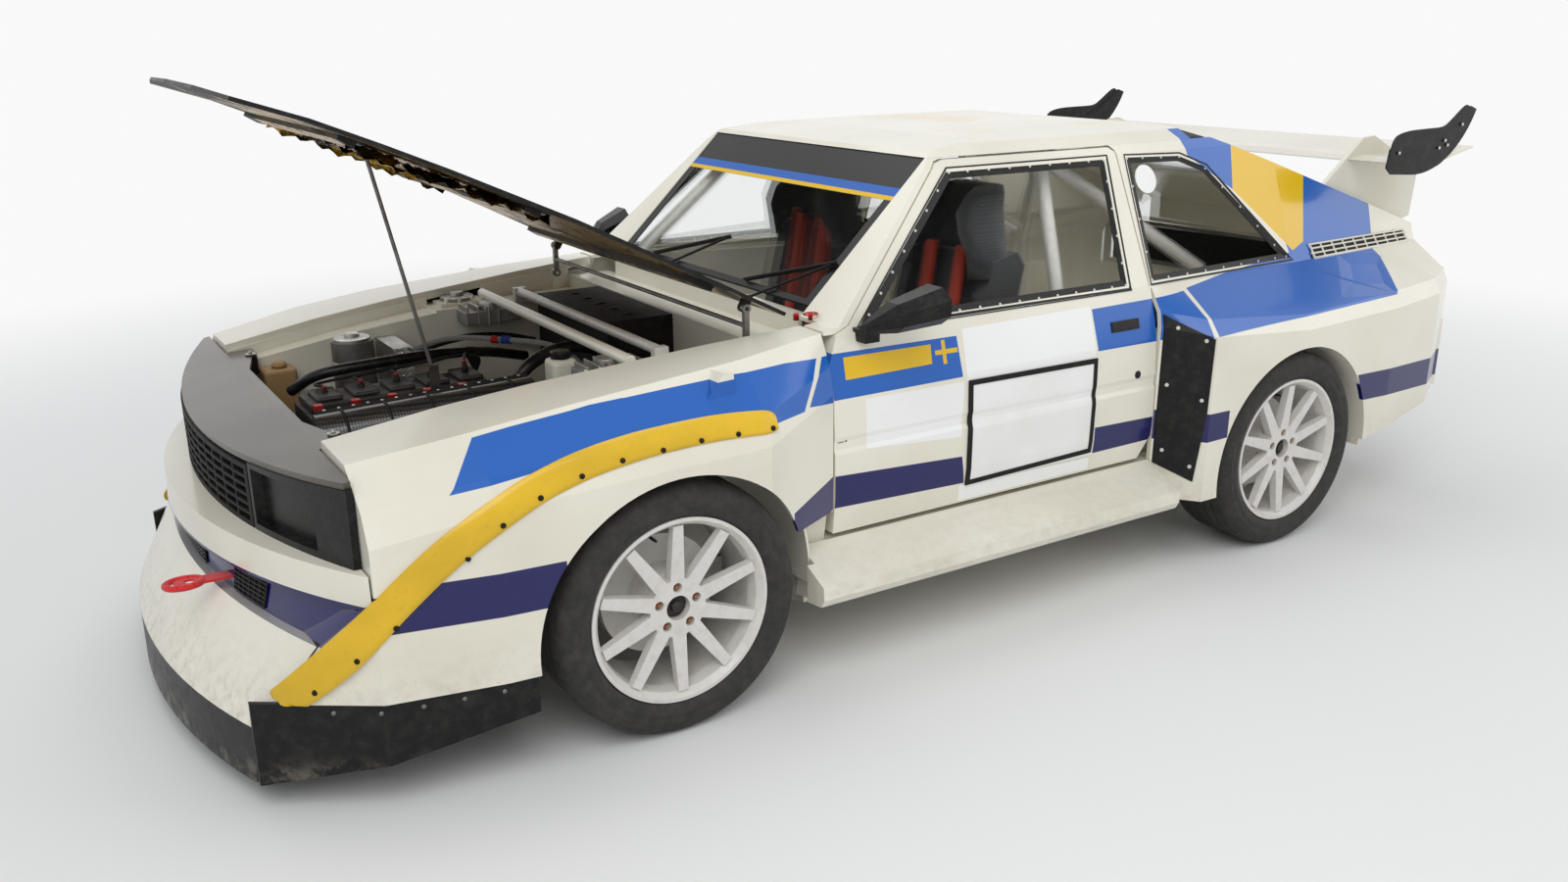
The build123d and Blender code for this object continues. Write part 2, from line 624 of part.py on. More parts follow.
def side_sill():
    """Box sill under the door with the white ledge outside it."""
    box = prism_x([(640.3, FLOOR_Z), (772, 190), (776, SILL_Z - 6), (640.3, SILL_Z - 6)], -700, 640)
    ledge = prism_x([(774, SILL_Z - 6), (790, SILL_Z - 2), (925, 296), (928, 262), (915, 240), (770, 220)], -606, 680)
    whole = box + ledge
    whole = whole - disc_y(FRONT_X, 400, 850, ARCH_Z, STEER_R + 8 + SEAT_GAP)
    return whole - wheel_tunnel(FRONT_X, 400, 1100) - wheel_tunnel(REAR_X, 400, 1100)


def stone_guard():
    """Black plate on the front of the rear wheel flare."""
    faces = []
    for row in FLARE_TABLE[:2]:
        loop = flare_chain(*row, 5.5) + flare_chain(*row, 0.5)[::-1]
        faces.append(make_face(Polyline([Vector(row[0], y, z) for y, z in loop], close=True)))
    side = [(-616, 812), (-706, 748), (-704, 520), (-690, 302), (-616, 352)]
    return loft(faces, ruled=True) & prism_y(side, 600, 1100)


def rear_liner():
    """Inner wheelhouse behind a rear wheel with its round liner."""
    wall = prism_y([(-800, 240), (-1490, 240), (-1490, 560), (-1400, 720), (-900, 720), (-800, 560)], 484.3, WELL_Y)
    liner = arch_liner(REAR_X, ARCH_R, WELL_Y - 4, HALF_WIDTH)
    liner = liner & inside_of([(row[0], flare_chain(*row, 0)) for row in FLARE_TABLE], SKIN + SEAT_GAP)
    cap = block(REAR_X - 30, REAR_X + 30, 540, 600, ARCH_Z + ARCH_R - 2 + SEAT_GAP, ARCH_Z + ARCH_R + 8)
    return (wall + liner + cap) - disc_y(REAR_X, 400, 560, TYRE_R, 60)


def tail_outline(z, centre_x, side_x, side_y, back_x):
    """Plan of the tail: an arc across the rear."""
    arc = ThreePointArc((side_x, -side_y, z), (centre_x, 0, z), (side_x, side_y, z))
    rest = Polyline((side_x, side_y, z), (back_x, side_y, z), (back_x, -side_y, z), (side_x, -side_y, z))
    return make_face([arc, rest])


def tail_panel():
    """The panel that carries the tail lamps."""
    outer = extrude(tail_outline(622, -2106, -2066, 778, -2056.3), 180, dir=(0, 0, 1))
    inner = extrude(tail_outline(600, -2092, -2052, 760, -2040), 300, dir=(0, 0, 1))
    return outer - inner


def rear_bumper():
    """Rear bumper cover across the tail."""
    outer = extrude(tail_outline(380, TAIL_X, -2074, 800, -2056.3), 240, dir=(0, 0, 1))
    inner = extrude(tail_outline(360, TAIL_X + 16, -2058, 784, -2040), 246, dir=(0, 0, 1))
    return outer - inner


def deck_z(x):
    """Height of the sloping rear deck at X."""
    (xa, za), (xb, zb) = CABIN_SIDE[-2:]
    return za + (zb - za) * (xa - x) / (xa - xb)


def rear_scuttle():
    """Strip between the rear window and the boot lid, with the lid's hinge ears."""
    strip = CABIN_SHELL & block(-1530, LID_FRONT_X + PANEL_GAP + 1, -559.7, 559.7, 850, 1400)
    for y in (-LID_HINGE_Y, LID_HINGE_Y):
        strip = strip + block(LID_HINGE_X - 2, LID_HINGE_X + 16, y - 6, y + 6, LID_HINGE_Z - 14, LID_HINGE_Z + 5)
        strip = strip + disc_y(LID_HINGE_X, y - 6, y + 6, LID_HINGE_Z, 7)
        strip = strip + disc_y(LID_HINGE_X, y - 18, y + 18, LID_HINGE_Z, 3)
    return strip


def boot_lid():
    """Boot lid: the sloping top, the upright rear face and the hinge knuckles."""
    top = CABIN_SHELL & block(LID_FRONT_X, -2086, -LID_HALF, LID_HALF, 850, 1400)
    lid = top + block(-2068, -2086, -590, 590, 808, 950)
    for y in (-LID_HINGE_Y, LID_HINGE_Y):
        lid = lid - block(LID_FRONT_X - 12, LID_FRONT_X + 10, y - 8, y + 8, 1060, 1200)
        for side in (-1, 1):
            inner = y + side * 8.3
            outer = y + side * 18
            knuckle_eye = disc_y(LID_HINGE_X, inner, outer, LID_HINGE_Z, 7)
            knuckle_eye = knuckle_eye + block(LID_FRONT_X - 20, LID_HINGE_X - 2, inner, outer, deck_z(LID_FRONT_X) - 12, LID_HINGE_Z + 5)
            lid = lid + knuckle_eye
        lid = lid - disc_y(LID_HINGE_X, y - 30, y + 30, LID_HINGE_Z, 3 + SEAT_GAP)
    return lid


def rear_wing():
    """Fins on the boot lid and the plane between them."""
    base_front = -1592
    base_rear = -2050
    fin_side = [(base_front, deck_z(base_front) + SEAT_GAP), (-1600, 1112), (-1778, 1251), (-1840, 1256), (-2116, 1128)]
    fin_side += [(-2100, 962), (-2062, 955), (base_rear, deck_z(base_rear) + SEAT_GAP)]
    fin = prism_y(fin_side, LID_HALF - 18, LID_HALF - 2)
    plane_side = [(-1700, 1184), (-1760, 1196), (-1900, 1192), (-2100, 1222), (-2102, 1216), (-1900, 1176), (-1760, 1172)]
    plane = prism_y(plane_side, -WING_HALF, WING_HALF)
    return plane + fin + flipped(fin)


def wing_end_plate():
    """Curved plate on the left end of the rear wing."""
    y = WING_HALF + SEAT_GAP
    front_low = (-1640, y, 1154)
    nose_low = (-1612, y, 1176)
    nose_top = (-1622, y, 1236)
    tip_top = (-2045, y, 1357)
    tip_low = (-2078, y, 1346)
    belly = (-1752, y, 1146)
    edge = [Line(front_low, nose_low), Line(nose_low, nose_top), ThreePointArc(nose_top, (-1858, y, 1258), tip_top)]
    edge += [Line(tip_top, tip_low), ThreePointArc(tip_low, (-1948, y, 1196), belly), Line(belly, front_low)]
    return extrude(make_face(edge), 6, dir=(0, 1, 0))


def tyre(axle_x, side):
    """A wide slick-shouldered tyre seated on its rim."""
    half = [(TYRE_R, 70), (314, TYRE_W / 2 - 18), (296, TYRE_W / 2 - 4), (262, TYRE_W / 2), (240, 110), (234.4, 99.8), (233.5, 99.5)]
    half += [(216, 91.5)]
    profile = [(r, -y) for r, y in half[::-1]] + half
    ring = revolve(make_face(Polyline([Vector(r, y, 0) for r, y in profile], close=True)), Axis.Y)
    return Pos(axle_x, side * WHEEL_Y, TYRE_R) * ring


def rim(axle_x, side):
    """Ten-spoke rim with the brake disc behind it, outer face to +Y before it is placed."""
    profile = [(RIM_R, -107), (RIM_R, -100), (215.6, -92), (215.6, 92), (RIM_R, 100), (RIM_R, 107), (224, 107), (212, 90)]
    profile += [(206, 60), (206, -90), (222, -107)]
    barrel = revolve(make_face(Polyline([Vector(r, y, 0) for r, y in profile], close=True)), Axis.Y)
    hub = disc_y(0, 46, 84, 0, HUB_R) - disc_y(0, 60, 90, 0, 31)
    wheel = barrel + hub
    for i in range(SPOKES):
        angle = 360 / SPOKES * i
        root = make_face(Polyline([Vector(-19, 56, 60), Vector(19, 56, 60), Vector(19, 84, 60), Vector(-19, 84, 60)], close=True))
        tip = make_face(Polyline([Vector(-13, 76, 212), Vector(13, 76, 212), Vector(13, 98, 212), Vector(-13, 98, 212)], close=True))
        spoke = loft([root, tip], ruled=True)
        wheel = wheel + Rot(0, angle, 0) * spoke
    bell = disc_y(0, -40, 45.7, 0, 82) - disc_y(0, -60, 30, 0, 70)
    disc = disc_y(0, -52, -24, 0, 152) - disc_y(0, -60, -10, 0, 70)
    wheel = wheel + disc_y(0, 40, 47, 0, 80)
    for i in range(WHEEL_NUTS):
        wheel = wheel - Rot(0, 360 / WHEEL_NUTS * i, 0) * disc_y(0, 64, 90, NUT_CIRCLE_R, 12)
    placed = wheel + bell + disc
    if side < 0:
        placed = flipped(placed)
    return Pos(axle_x, side * WHEEL_Y, TYRE_R) * placed


def king_point(z):
    """A point on the left steering axis at height z."""
    return (FRONT_X, KING_Y - (z - KING_Z) * math.tan(math.radians(KING_LEAN)), z)


def knuckle():
    """Left front upright with strut, hub stub, steering arm and caliper."""
    strut = rod(king_point(420), king_point(660), 27) + rod(king_point(655), king_point(760), 11)
    spring = rod(king_point(656), king_point(668), 55) + rod(king_point(740), king_point(752), 50)
    stud = rod(king_point(752), king_point(824), 10)
    half = 58
    side = [(FRONT_X - 40, 244), (FRONT_X + 40, 244), (FRONT_X + half, 320), (FRONT_X + 34, 446), (FRONT_X - 34, 446), (FRONT_X - half, 320)]
    upright = prism_y(side, 640, 684)
    ball = rod(king_point(220 + SEAT_GAP), king_point(262), 20)
    hub = disc_y(FRONT_X, 684, WHEEL_Y + 30 - SEAT_GAP, TYRE_R, 44)
    arm = prism_z([(FRONT_X - 30, 650), (FRONT_X - 30, 680), (FRONT_X - 128, 664), (FRONT_X - 128, 640)], 262, 280)
    caliper = block(FRONT_X - 176, FRONT_X - 96, 708, 776, 286, 380)
    caliper = caliper - disc_y(FRONT_X, 728, 770, TYRE_R, 157)
    bridge = block(FRONT_X - 112, FRONT_X - 50, 664, 684, 300, 350) + block(FRONT_X - 112, FRONT_X - 96, 664, 712, 300, 350)
    whole = strut + spring + stud + upright + ball + hub + arm + caliper + bridge
    whole = whole - disc_y(FRONT_X, 600, 676, TYRE_R, 42)
    return whole - Pos(*king_point(TYRE_R)) * Sphere(30 + SEAT_GAP)


def front_suspension():
    """Front cross member, lower arms and the front rails."""
    beam = block(FRONT_X - 60, FRONT_X + 60, -330, 330, 190, 240)
    arms = None
    for side in (-1, 1):
        y = side * (KING_Y - 6)
        arm = prism_z([(FRONT_X - 22, side * 320), (FRONT_X + 22, side * 320), (FRONT_X + 18, y), (FRONT_X - 18, y)], 196, 216)
        drag = rod((FRONT_X + 330, side * 400, 225), (FRONT_X, side * 640, 206), 11)
        low = king_point(194)
        high = king_point(220)
        socket = rod((low[0], side * low[1], low[2]), (high[0], side * high[1], high[2]), 24)
        mount = block(FRONT_X + 310, FRONT_X + 350, side * 380, side * 420, 205, 260)
        web = block(FRONT_X - 30, FRONT_X + 30, side * 300, side * 420, 225, 260)
        arms = arm + drag + socket + mount + web if arms is None else arms + arm + drag + socket + mount + web
    rails = block(654.3, 1733, 380, 420, 240, 300) + block(654.3, 1733, -420, -380, 240, 300)
    return beam + arms + rails


def rear_suspension():
    """Rear cross member, lower arms, hub carriers and dampers."""
    whole = block(REAR_X - 60, REAR_X + 60, -330, 330, 200, 250)
    for side in (-1, 1):
        arm = prism_z([(REAR_X - 120, side * 320), (REAR_X + 120, side * 320), (REAR_X + 34, side * 650), (REAR_X - 34, side * 650)], 204, 226)
        carrier = block(REAR_X - 40, REAR_X + 40, side * 640, side * 676, 204, 420)
        hub = disc_y(REAR_X, side * 676, side * (WHEEL_Y + 30 - SEAT_GAP), TYRE_R, 44)
        damper = rod((REAR_X, side * 640, 400), (REAR_X, side * 574, 650), 25)
        cap = block(REAR_X - 30, REAR_X + 30, side * 540, side * 600, 640, ARCH_Z + ARCH_R - 2)
        whole = whole + arm + carrier + hub + damper + cap
    return whole


def driveshafts():
    """Half shafts and the long propeller shaft."""
    shafts = []
    king_y = king_point(TYRE_R)[1]
    for side in (-1, 1):
        front = rod((FRONT_X, side * 140.3, TYRE_R), (FRONT_X, side * king_y, TYRE_R), 14)
        front = front + disc_y(FRONT_X, side * 140.3, side * 220, TYRE_R, 42) + Pos(FRONT_X, side * king_y, TYRE_R) * Sphere(30)
        rear = rod((REAR_X, side * 150.3, TYRE_R), (REAR_X, side * 639.7, TYRE_R), 14)
        rear = rear + disc_y(REAR_X, side * 150.3, side * 230, TYRE_R, 42)
        shafts += [front, rear]
    shafts.append(rod((654, 0, 256), (REAR_X + 120.3, 0, 256), 34))
    return shafts


def engine_block():
    """Inline engine and its head as one plain block, with the prop rod's rest."""
    block_low = block(1180, 1690, -120, 150, 270, 560)
    head = block(1190, 1680, -80, 140, 560, 700)
    rest = block(ROD_FOOT_X - 12, ROD_FOOT_X + 12, ROD_Y + 9 + SEAT_GAP, ROD_Y + 17, 690, ROD_FOOT_Z + 14)
    return block_low + head + rest


def gearbox():
    """Gearbox in front of the bulkhead and the rear axle drive."""
    case = block(654.3, 1180, -130, 130, 250, 300) + block(700, 1179.7, -140, 140, 300, 470)
    return case + block(REAR_X - 120, REAR_X + 120, -150, 150, 250.3, 400)


def intake_plenum():
    """Long intake drum on the left of the engine with its runners and the duct beside it."""
    body = rod((1140, 236, 696), (1690, 200, 670), 64) + rod((1130, 330, 672), (1650, 300, 640), 48)
    runners = None
    for i in range(5):
        x = 1260 + i * 92
        pipe = rod((x, 130, 640), (x, 220, 668), 20)
        runners = pipe if runners is None else runners + pipe
    return (body + runners) & block(1100, 1750, 140.3, 400, 500, 900)


def bay_boxes():
    """Air box at the bulkhead, canister on its bracket and heat shield."""
    air = block(654.3, 860, -400, 110, 640, 846)
    wall_y = -WELL_Y + 8 + SEAT_GAP
    can = rod((1437, -400, 560), (1437, -400, 774), 60) + block(1417, 1457, wall_y, -440, 660, 672)
    shield = block(1296, 1350, wall_y, -290, 580, 756) - block(1290, 1338, -470, -300, 570, 744)
    return [air, can, shield]


def strut_brace():
    pads = block(FRONT_X - 70, FRONT_X + 70, 510, 596, 812.3, 822) - Pos(FRONT_X, 572, 818) * Cylinder(30, 60)
    for i in range(3):
        x = FRONT_X - 30 + 40 * i
        pads = pads + block(x - 3, x + 3, 514, 532, 820, 834)
    pads = pads + flipped(pads)
    tube = rod((FRONT_X - 68, -526, 841), (FRONT_X - 68, 526, 841), 15)
    feet = block(FRONT_X - 80, FRONT_X - 56, 505, 530, 812.3, 850) + block(FRONT_X - 80, FRONT_X - 56, -530, -505, 812.3, 850)
    return pads + tube + feet


def dashboard():
    return prism_y([(420, 630), (639.7, 630), (639.7, 826), (470, 834), (400, 786)], -560, 560)


def seat():
    """Left bucket seat: cushion and back with side wings."""
    outer = [(-40, 200), (300, 240), (330, 330), (300, 420), (0, 390), (-150, 980), (-240, 1000), (-270, 960), (-110, 250)]
    shell = prism_y(outer, 150, 570)
    pocket = prism_y([(10, 300), (290, 340), (340, 500), (-40, 1100), (-180, 1000), (-50, 320)], 200, 520)
    feet = block(-20, 240, 190, 210, FLOOR_Z + FLOOR_T, 260) + block(-20, 240, 510, 530, FLOOR_Z + FLOOR_T, 260)
    return (shell - pocket) + feet


def roll_cage():
    """Main hoop, front legs, back stays and door bars."""
    r = 20
    foot = FLOOR_Z + FLOOR_T - 6
    hoop = rod((-380, 560, foot), (-380, 600, 860), r) + rod((-380, 600, 860), (-380, 490, 1262), r)
    roofbar = rod((-380, -490, 1262), (-380, 490, 1262), r)
    leg = rod((500, 590, foot), (470, 590, 860), r) + rod((470, 590, 860), (80, 490, 1222), r)
    rail = rod((80, 490, 1222), (-380, 490, 1262), r)
    stay = rod((-380, 490, 1262), (-1180, 440, 840), r) + rod((-1180, 440, 840), (-1180, 440, 540), r)
    cross = rod((-380, 490, 1262), (-1180, -440, 840), r)
    side = hoop + leg + rail + stay
    front = rod((80, -490, 1222), (80, 490, 1222), r)
    whole = side + flipped(side) + roofbar + front + cross
    whole = whole & block(-1000, 700, -700, 700, FLOOR_Z + FLOOR_T + 0.3, 1400) + (whole & block(-1400, -1000, -700, 700, 560.3, 1400))
    return whole


def cowl():
    """Panel between the bonnet and the windscreen, with the water tray ahead of it."""
    sheet = prism_y([(474, 902), (516, 905), (516, 893), (474, 890)], -558, 558)
    lip = block(502, 516, -558, 558, 838, 900)
    tray = block(502, 639.7, -640, 640, 838, 846)
    return sheet + lip + tray


def prop_rod():
    """Rod that holds the bonnet up, hung from the pin on the bonnet."""
    top = opened(Pos(ROD_TOP_X, ROD_Y, ROD_TOP_Z)).position
    bar = rod((ROD_FOOT_X, ROD_Y, ROD_FOOT_Z), tuple(top), ROD_R)
    tip = Pos(ROD_FOOT_X, ROD_Y, ROD_FOOT_Z) * Sphere(9)
    eye = opened(rod((ROD_TOP_X - 7.7, ROD_Y, ROD_TOP_Z), (ROD_TOP_X + 7.7, ROD_Y, ROD_TOP_Z), 9))
    bore = opened(rod((ROD_TOP_X - 20, ROD_Y, ROD_TOP_Z), (ROD_TOP_X + 20, ROD_Y, ROD_TOP_Z), 4 + SEAT_GAP))
    shape = bar + tip + eye - bore
    return shape.solids().sort_by(SortBy.VOLUME)[-1]


def steering_column():
    centre = Vector(190, 360, 780)
    tilt = Plane(origin=centre, z_dir=(-0.93, 0, 0.36))
    ring = tilt * Torus(170, 14)
    boss = tilt * Cylinder(34, 24)
    spokes = tilt * Box(330, 22, 8) + tilt * Box(22, 330, 8)
    shaft = rod((190, 360, 780), (450, 360, 680), 16) - Pos(-0.3, 0, 0) * dashboard()
    return ring + boss + spokes + shaft.solids().sort_by(Axis.X)[0]


def exhaust():
    """Exhaust from the engine's right side, under the floor, to the tail."""
    route = [(1300, -170, 420), (1180, -210, 130), (-1300, -210, 122), (-1520, -300, 240), (TAIL_X + 30, -300, 256)]
    whole = rod((1300, -120.3, 420), (1300, -170, 420), 28)
    for a, b in zip(route, route[1:]):
        whole = whole + rod(a, b, 28) + Pos(*a) * Sphere(28)
    whole = whole + block(-712, -688, -216, -204, 140, FLOOR_Z - SEAT_GAP)
    whole = whole + block(-1812, -1788, -306, -294, 262, 300 - SEAT_GAP)
    return whole + rod((-1760, -300, 249), (TAIL_X + 20, -300, 257), 36)


def radiator():
    return block(1704, 1733, -420, 420, 300.3, 690)


def tail_lamps():
    """Left tail lamp on the tail panel."""
    outer = extrude(tail_outline(640, -2116, -2078, 770, -2061), 140, dir=(0, 0, 1))
    inner = extrude(tail_outline(600, -2106.3, -2066.3, 790, -2040), 300, dir=(0, 0, 1))
    return (outer - inner) & block(TAIL_X, -2000, 300, 740, 600, 800)


def tow_loop():
    strap = prism_z([(1900, 325), (2068, 325), (2074, 345), (2068, 365), (1900, 365)], 428, 434)
    strap = strap - Pos(2040, 345, 431) * Cylinder(12, 20) - Pos(SEAT_GAP, 0, 0) * NOSE
    return strap.solids().sort_by(Axis.X)[-1]


def wipers():
    """Two arms parked on the windscreen."""
    arms = []
    for y in (300, -260):
        post = Pos(508, y, 910) * Cylinder(8, 10 - 2 * SEAT_GAP)
        arm = rod((508, y, 911), (396, y + 240, 1025), 4)
        arms.append(post + arm)
    return arms


# Mirror housing: X, then centre Y, centre Z, half width, half height
MIRROR_SECTIONS = ((486, (810, 910, 14, 12)), (430, (858, 942, 50, 36)), (326, (892, 970, 68, 46)))


def eight_sided(y, z, half_y, half_z):
    """An oblong with cut corners."""
    cut = 0.45
    corners = ((1, cut), (cut, 1), (-cut, 1), (-1, cut), (-1, -cut), (-cut, -1), (cut, -1), (1, -cut))
    return [(y + half_y * u, z + half_z * v) for u, v in corners]


def mirror_body():
    """Left door mirror on its foot."""
    cup = solid_loft([(x, eight_sided(*section)) for x, section in MIRROR_SECTIONS])
    cup = cup - solid_loft([(334, eight_sided(892, 970, 62, 40)), (320, eight_sided(892, 970, 62, 40))])
    foot = block(425, 470, 740, 800, 868, 900) + rod((448, 780, 886), (420, 840, 940), 13)
    return cup + (foot - Pos(0, SEAT_GAP, 0) * DOOR).solids().sort_by(SortBy.VOLUME)[-1]


WING_LEFT = front_wing()
save("front_wings", WING_LEFT, flipped(WING_LEFT))
NOSE = nose_cone()
save("nose_cone", NOSE)
save("front_splitter", front_splitter())
save("grille", grille())
LAMP = headlamp()
save("headlamps", LAMP, flipped(LAMP))
save("slam_panel", slam_panel())
save("bonnet", opened(bonnet_shape()))
save("bonnet_links", bonnet_links())
save("prop_rod", prop_rod())
save("cowl", cowl())
BAY_SIDE = engine_bay_sides()
save("inner_wings", BAY_SIDE, flipped(BAY_SIDE))
save("roof_panel", roof_panel())
PILLARS = pillars()
save("pillars", *PILLARS, *[flipped(post) for post in PILLARS])
DOOR = door()
save("door_left", DOOR)
save("door_right", flipped(DOOR))
GLASS = side_glass(DOOR_GLASS)
save("door_glass_left", GLASS)
save("door_glass_right", flipped(GLASS))
QUARTER = side_glass(QUARTER_HOLE)
save("quarter_windows", QUARTER, flipped(QUARTER))
REAR_QUARTER = rear_quarter()
save("rear_quarters", REAR_QUARTER, flipped(REAR_QUARTER))
save("rear_window", rear_glass_pane())
save("windscreen", windscreen_pane())
save("floor_pan", floor_pan())
save("boot_floor", boot_floor())
SILL = side_sill()
save("side_sills", SILL, flipped(SILL))
GUARD = stone_guard()
save("stone_guards", GUARD, flipped(GUARD))
save("tail_panel", tail_panel())
save("rear_bumper", rear_bumper())
save("boot_lid", boot_lid())
save("rear_scuttle", rear_scuttle())
LINER = rear_liner()
save("rear_wheelhouses", LINER, flipped(LINER))
END_PLATE = wing_end_plate()
save("rear_wing", rear_wing(), END_PLATE, flipped(END_PLATE))
for corner, axle_x, side in (("fl", FRONT_X, 1), ("fr", FRONT_X, -1), ("rl", REAR_X, 1), ("rr", REAR_X, -1)):
    save("tyre_" + corner, tyre(axle_x, side))
    save("rim_" + corner, rim(axle_x, side))
KNUCKLE = knuckle()
save("knuckle_left", KNUCKLE)
save("knuckle_right", flipped(KNUCKLE))
save("front_suspension", front_suspension())
save("rear_suspension", rear_suspension())
save("driveshafts", *driveshafts())
save("engine_block", engine_block())
save("gearbox", gearbox())
save("intake_plenum", intake_plenum())
save("bay_boxes", *bay_boxes())
save("strut_brace", strut_brace())
save("dashboard", dashboard())
SEAT = seat()
save("seats", SEAT, flipped(SEAT))
save("roll_cage", roll_cage())
save("steering_column", steering_column())
save("exhaust", exhaust())
save("radiator", radiator())
LAMPS = tail_lamps()
save("tail_lamps", LAMPS, flipped(LAMPS))
save("tow_loop", tow_loop())
save("wipers", *wipers())
MIRROR = mirror_body()
save("mirror_left", MIRROR)
save("mirror_right", flipped(MIRROR))
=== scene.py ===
import math
from functools import reduce
import bpy
import bmesh
from mathutils import Matrix, Vector
from mathutils.bvhtree import BVHTree


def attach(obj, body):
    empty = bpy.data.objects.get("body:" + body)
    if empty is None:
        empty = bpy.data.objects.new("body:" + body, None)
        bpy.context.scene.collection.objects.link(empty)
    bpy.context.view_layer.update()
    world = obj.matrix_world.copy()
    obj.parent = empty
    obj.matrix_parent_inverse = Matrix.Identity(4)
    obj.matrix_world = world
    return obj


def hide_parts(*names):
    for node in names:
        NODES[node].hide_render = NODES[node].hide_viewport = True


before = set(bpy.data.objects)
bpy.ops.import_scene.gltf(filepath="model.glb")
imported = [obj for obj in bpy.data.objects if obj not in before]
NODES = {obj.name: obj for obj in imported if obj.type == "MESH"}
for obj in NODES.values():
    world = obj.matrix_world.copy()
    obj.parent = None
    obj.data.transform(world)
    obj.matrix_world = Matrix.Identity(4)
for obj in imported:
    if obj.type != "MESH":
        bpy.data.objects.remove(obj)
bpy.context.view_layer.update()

# Places that the looks share with the car, in metres: +X forward, +Y left, +Z up
FRONT_X = 1.060
REAR_X = -1.144
WHEEL_Y = 0.7875
WHEEL_Z = 0.320
WHEELS = (("fl", FRONT_X, 1), ("fr", FRONT_X, -1), ("rl", REAR_X, 1), ("rr", REAR_X, -1))
SIDES = (("left", 1), ("right", -1))
DOOR_FRONT_X = 0.566
BONNET_TILT = math.radians(31.3)
# Upper pin of the bonnet's links, with the bonnet open and shut
PIN_OPEN = (0.705, 0, 0.954)
PIN_SHUT = (0.615, 0, 0.864)
# Lines that search for the body's skin start here, well clear of it
AHEAD_X = 3.0
BEHIND_X = -3.0
BESIDE_Y = 1.4
UP = (0, 0, 1)


def pairs(ring):
    """Each point of a closed ring with the next one."""
    return zip(ring, ring[1:] + ring[:1])


def crosswise(a, b):
    """The unit vector square to the way from a to b."""
    long = math.hypot(b[0] - a[0], b[1] - a[1])
    return -(b[1] - a[1]) / long, (b[0] - a[0]) / long


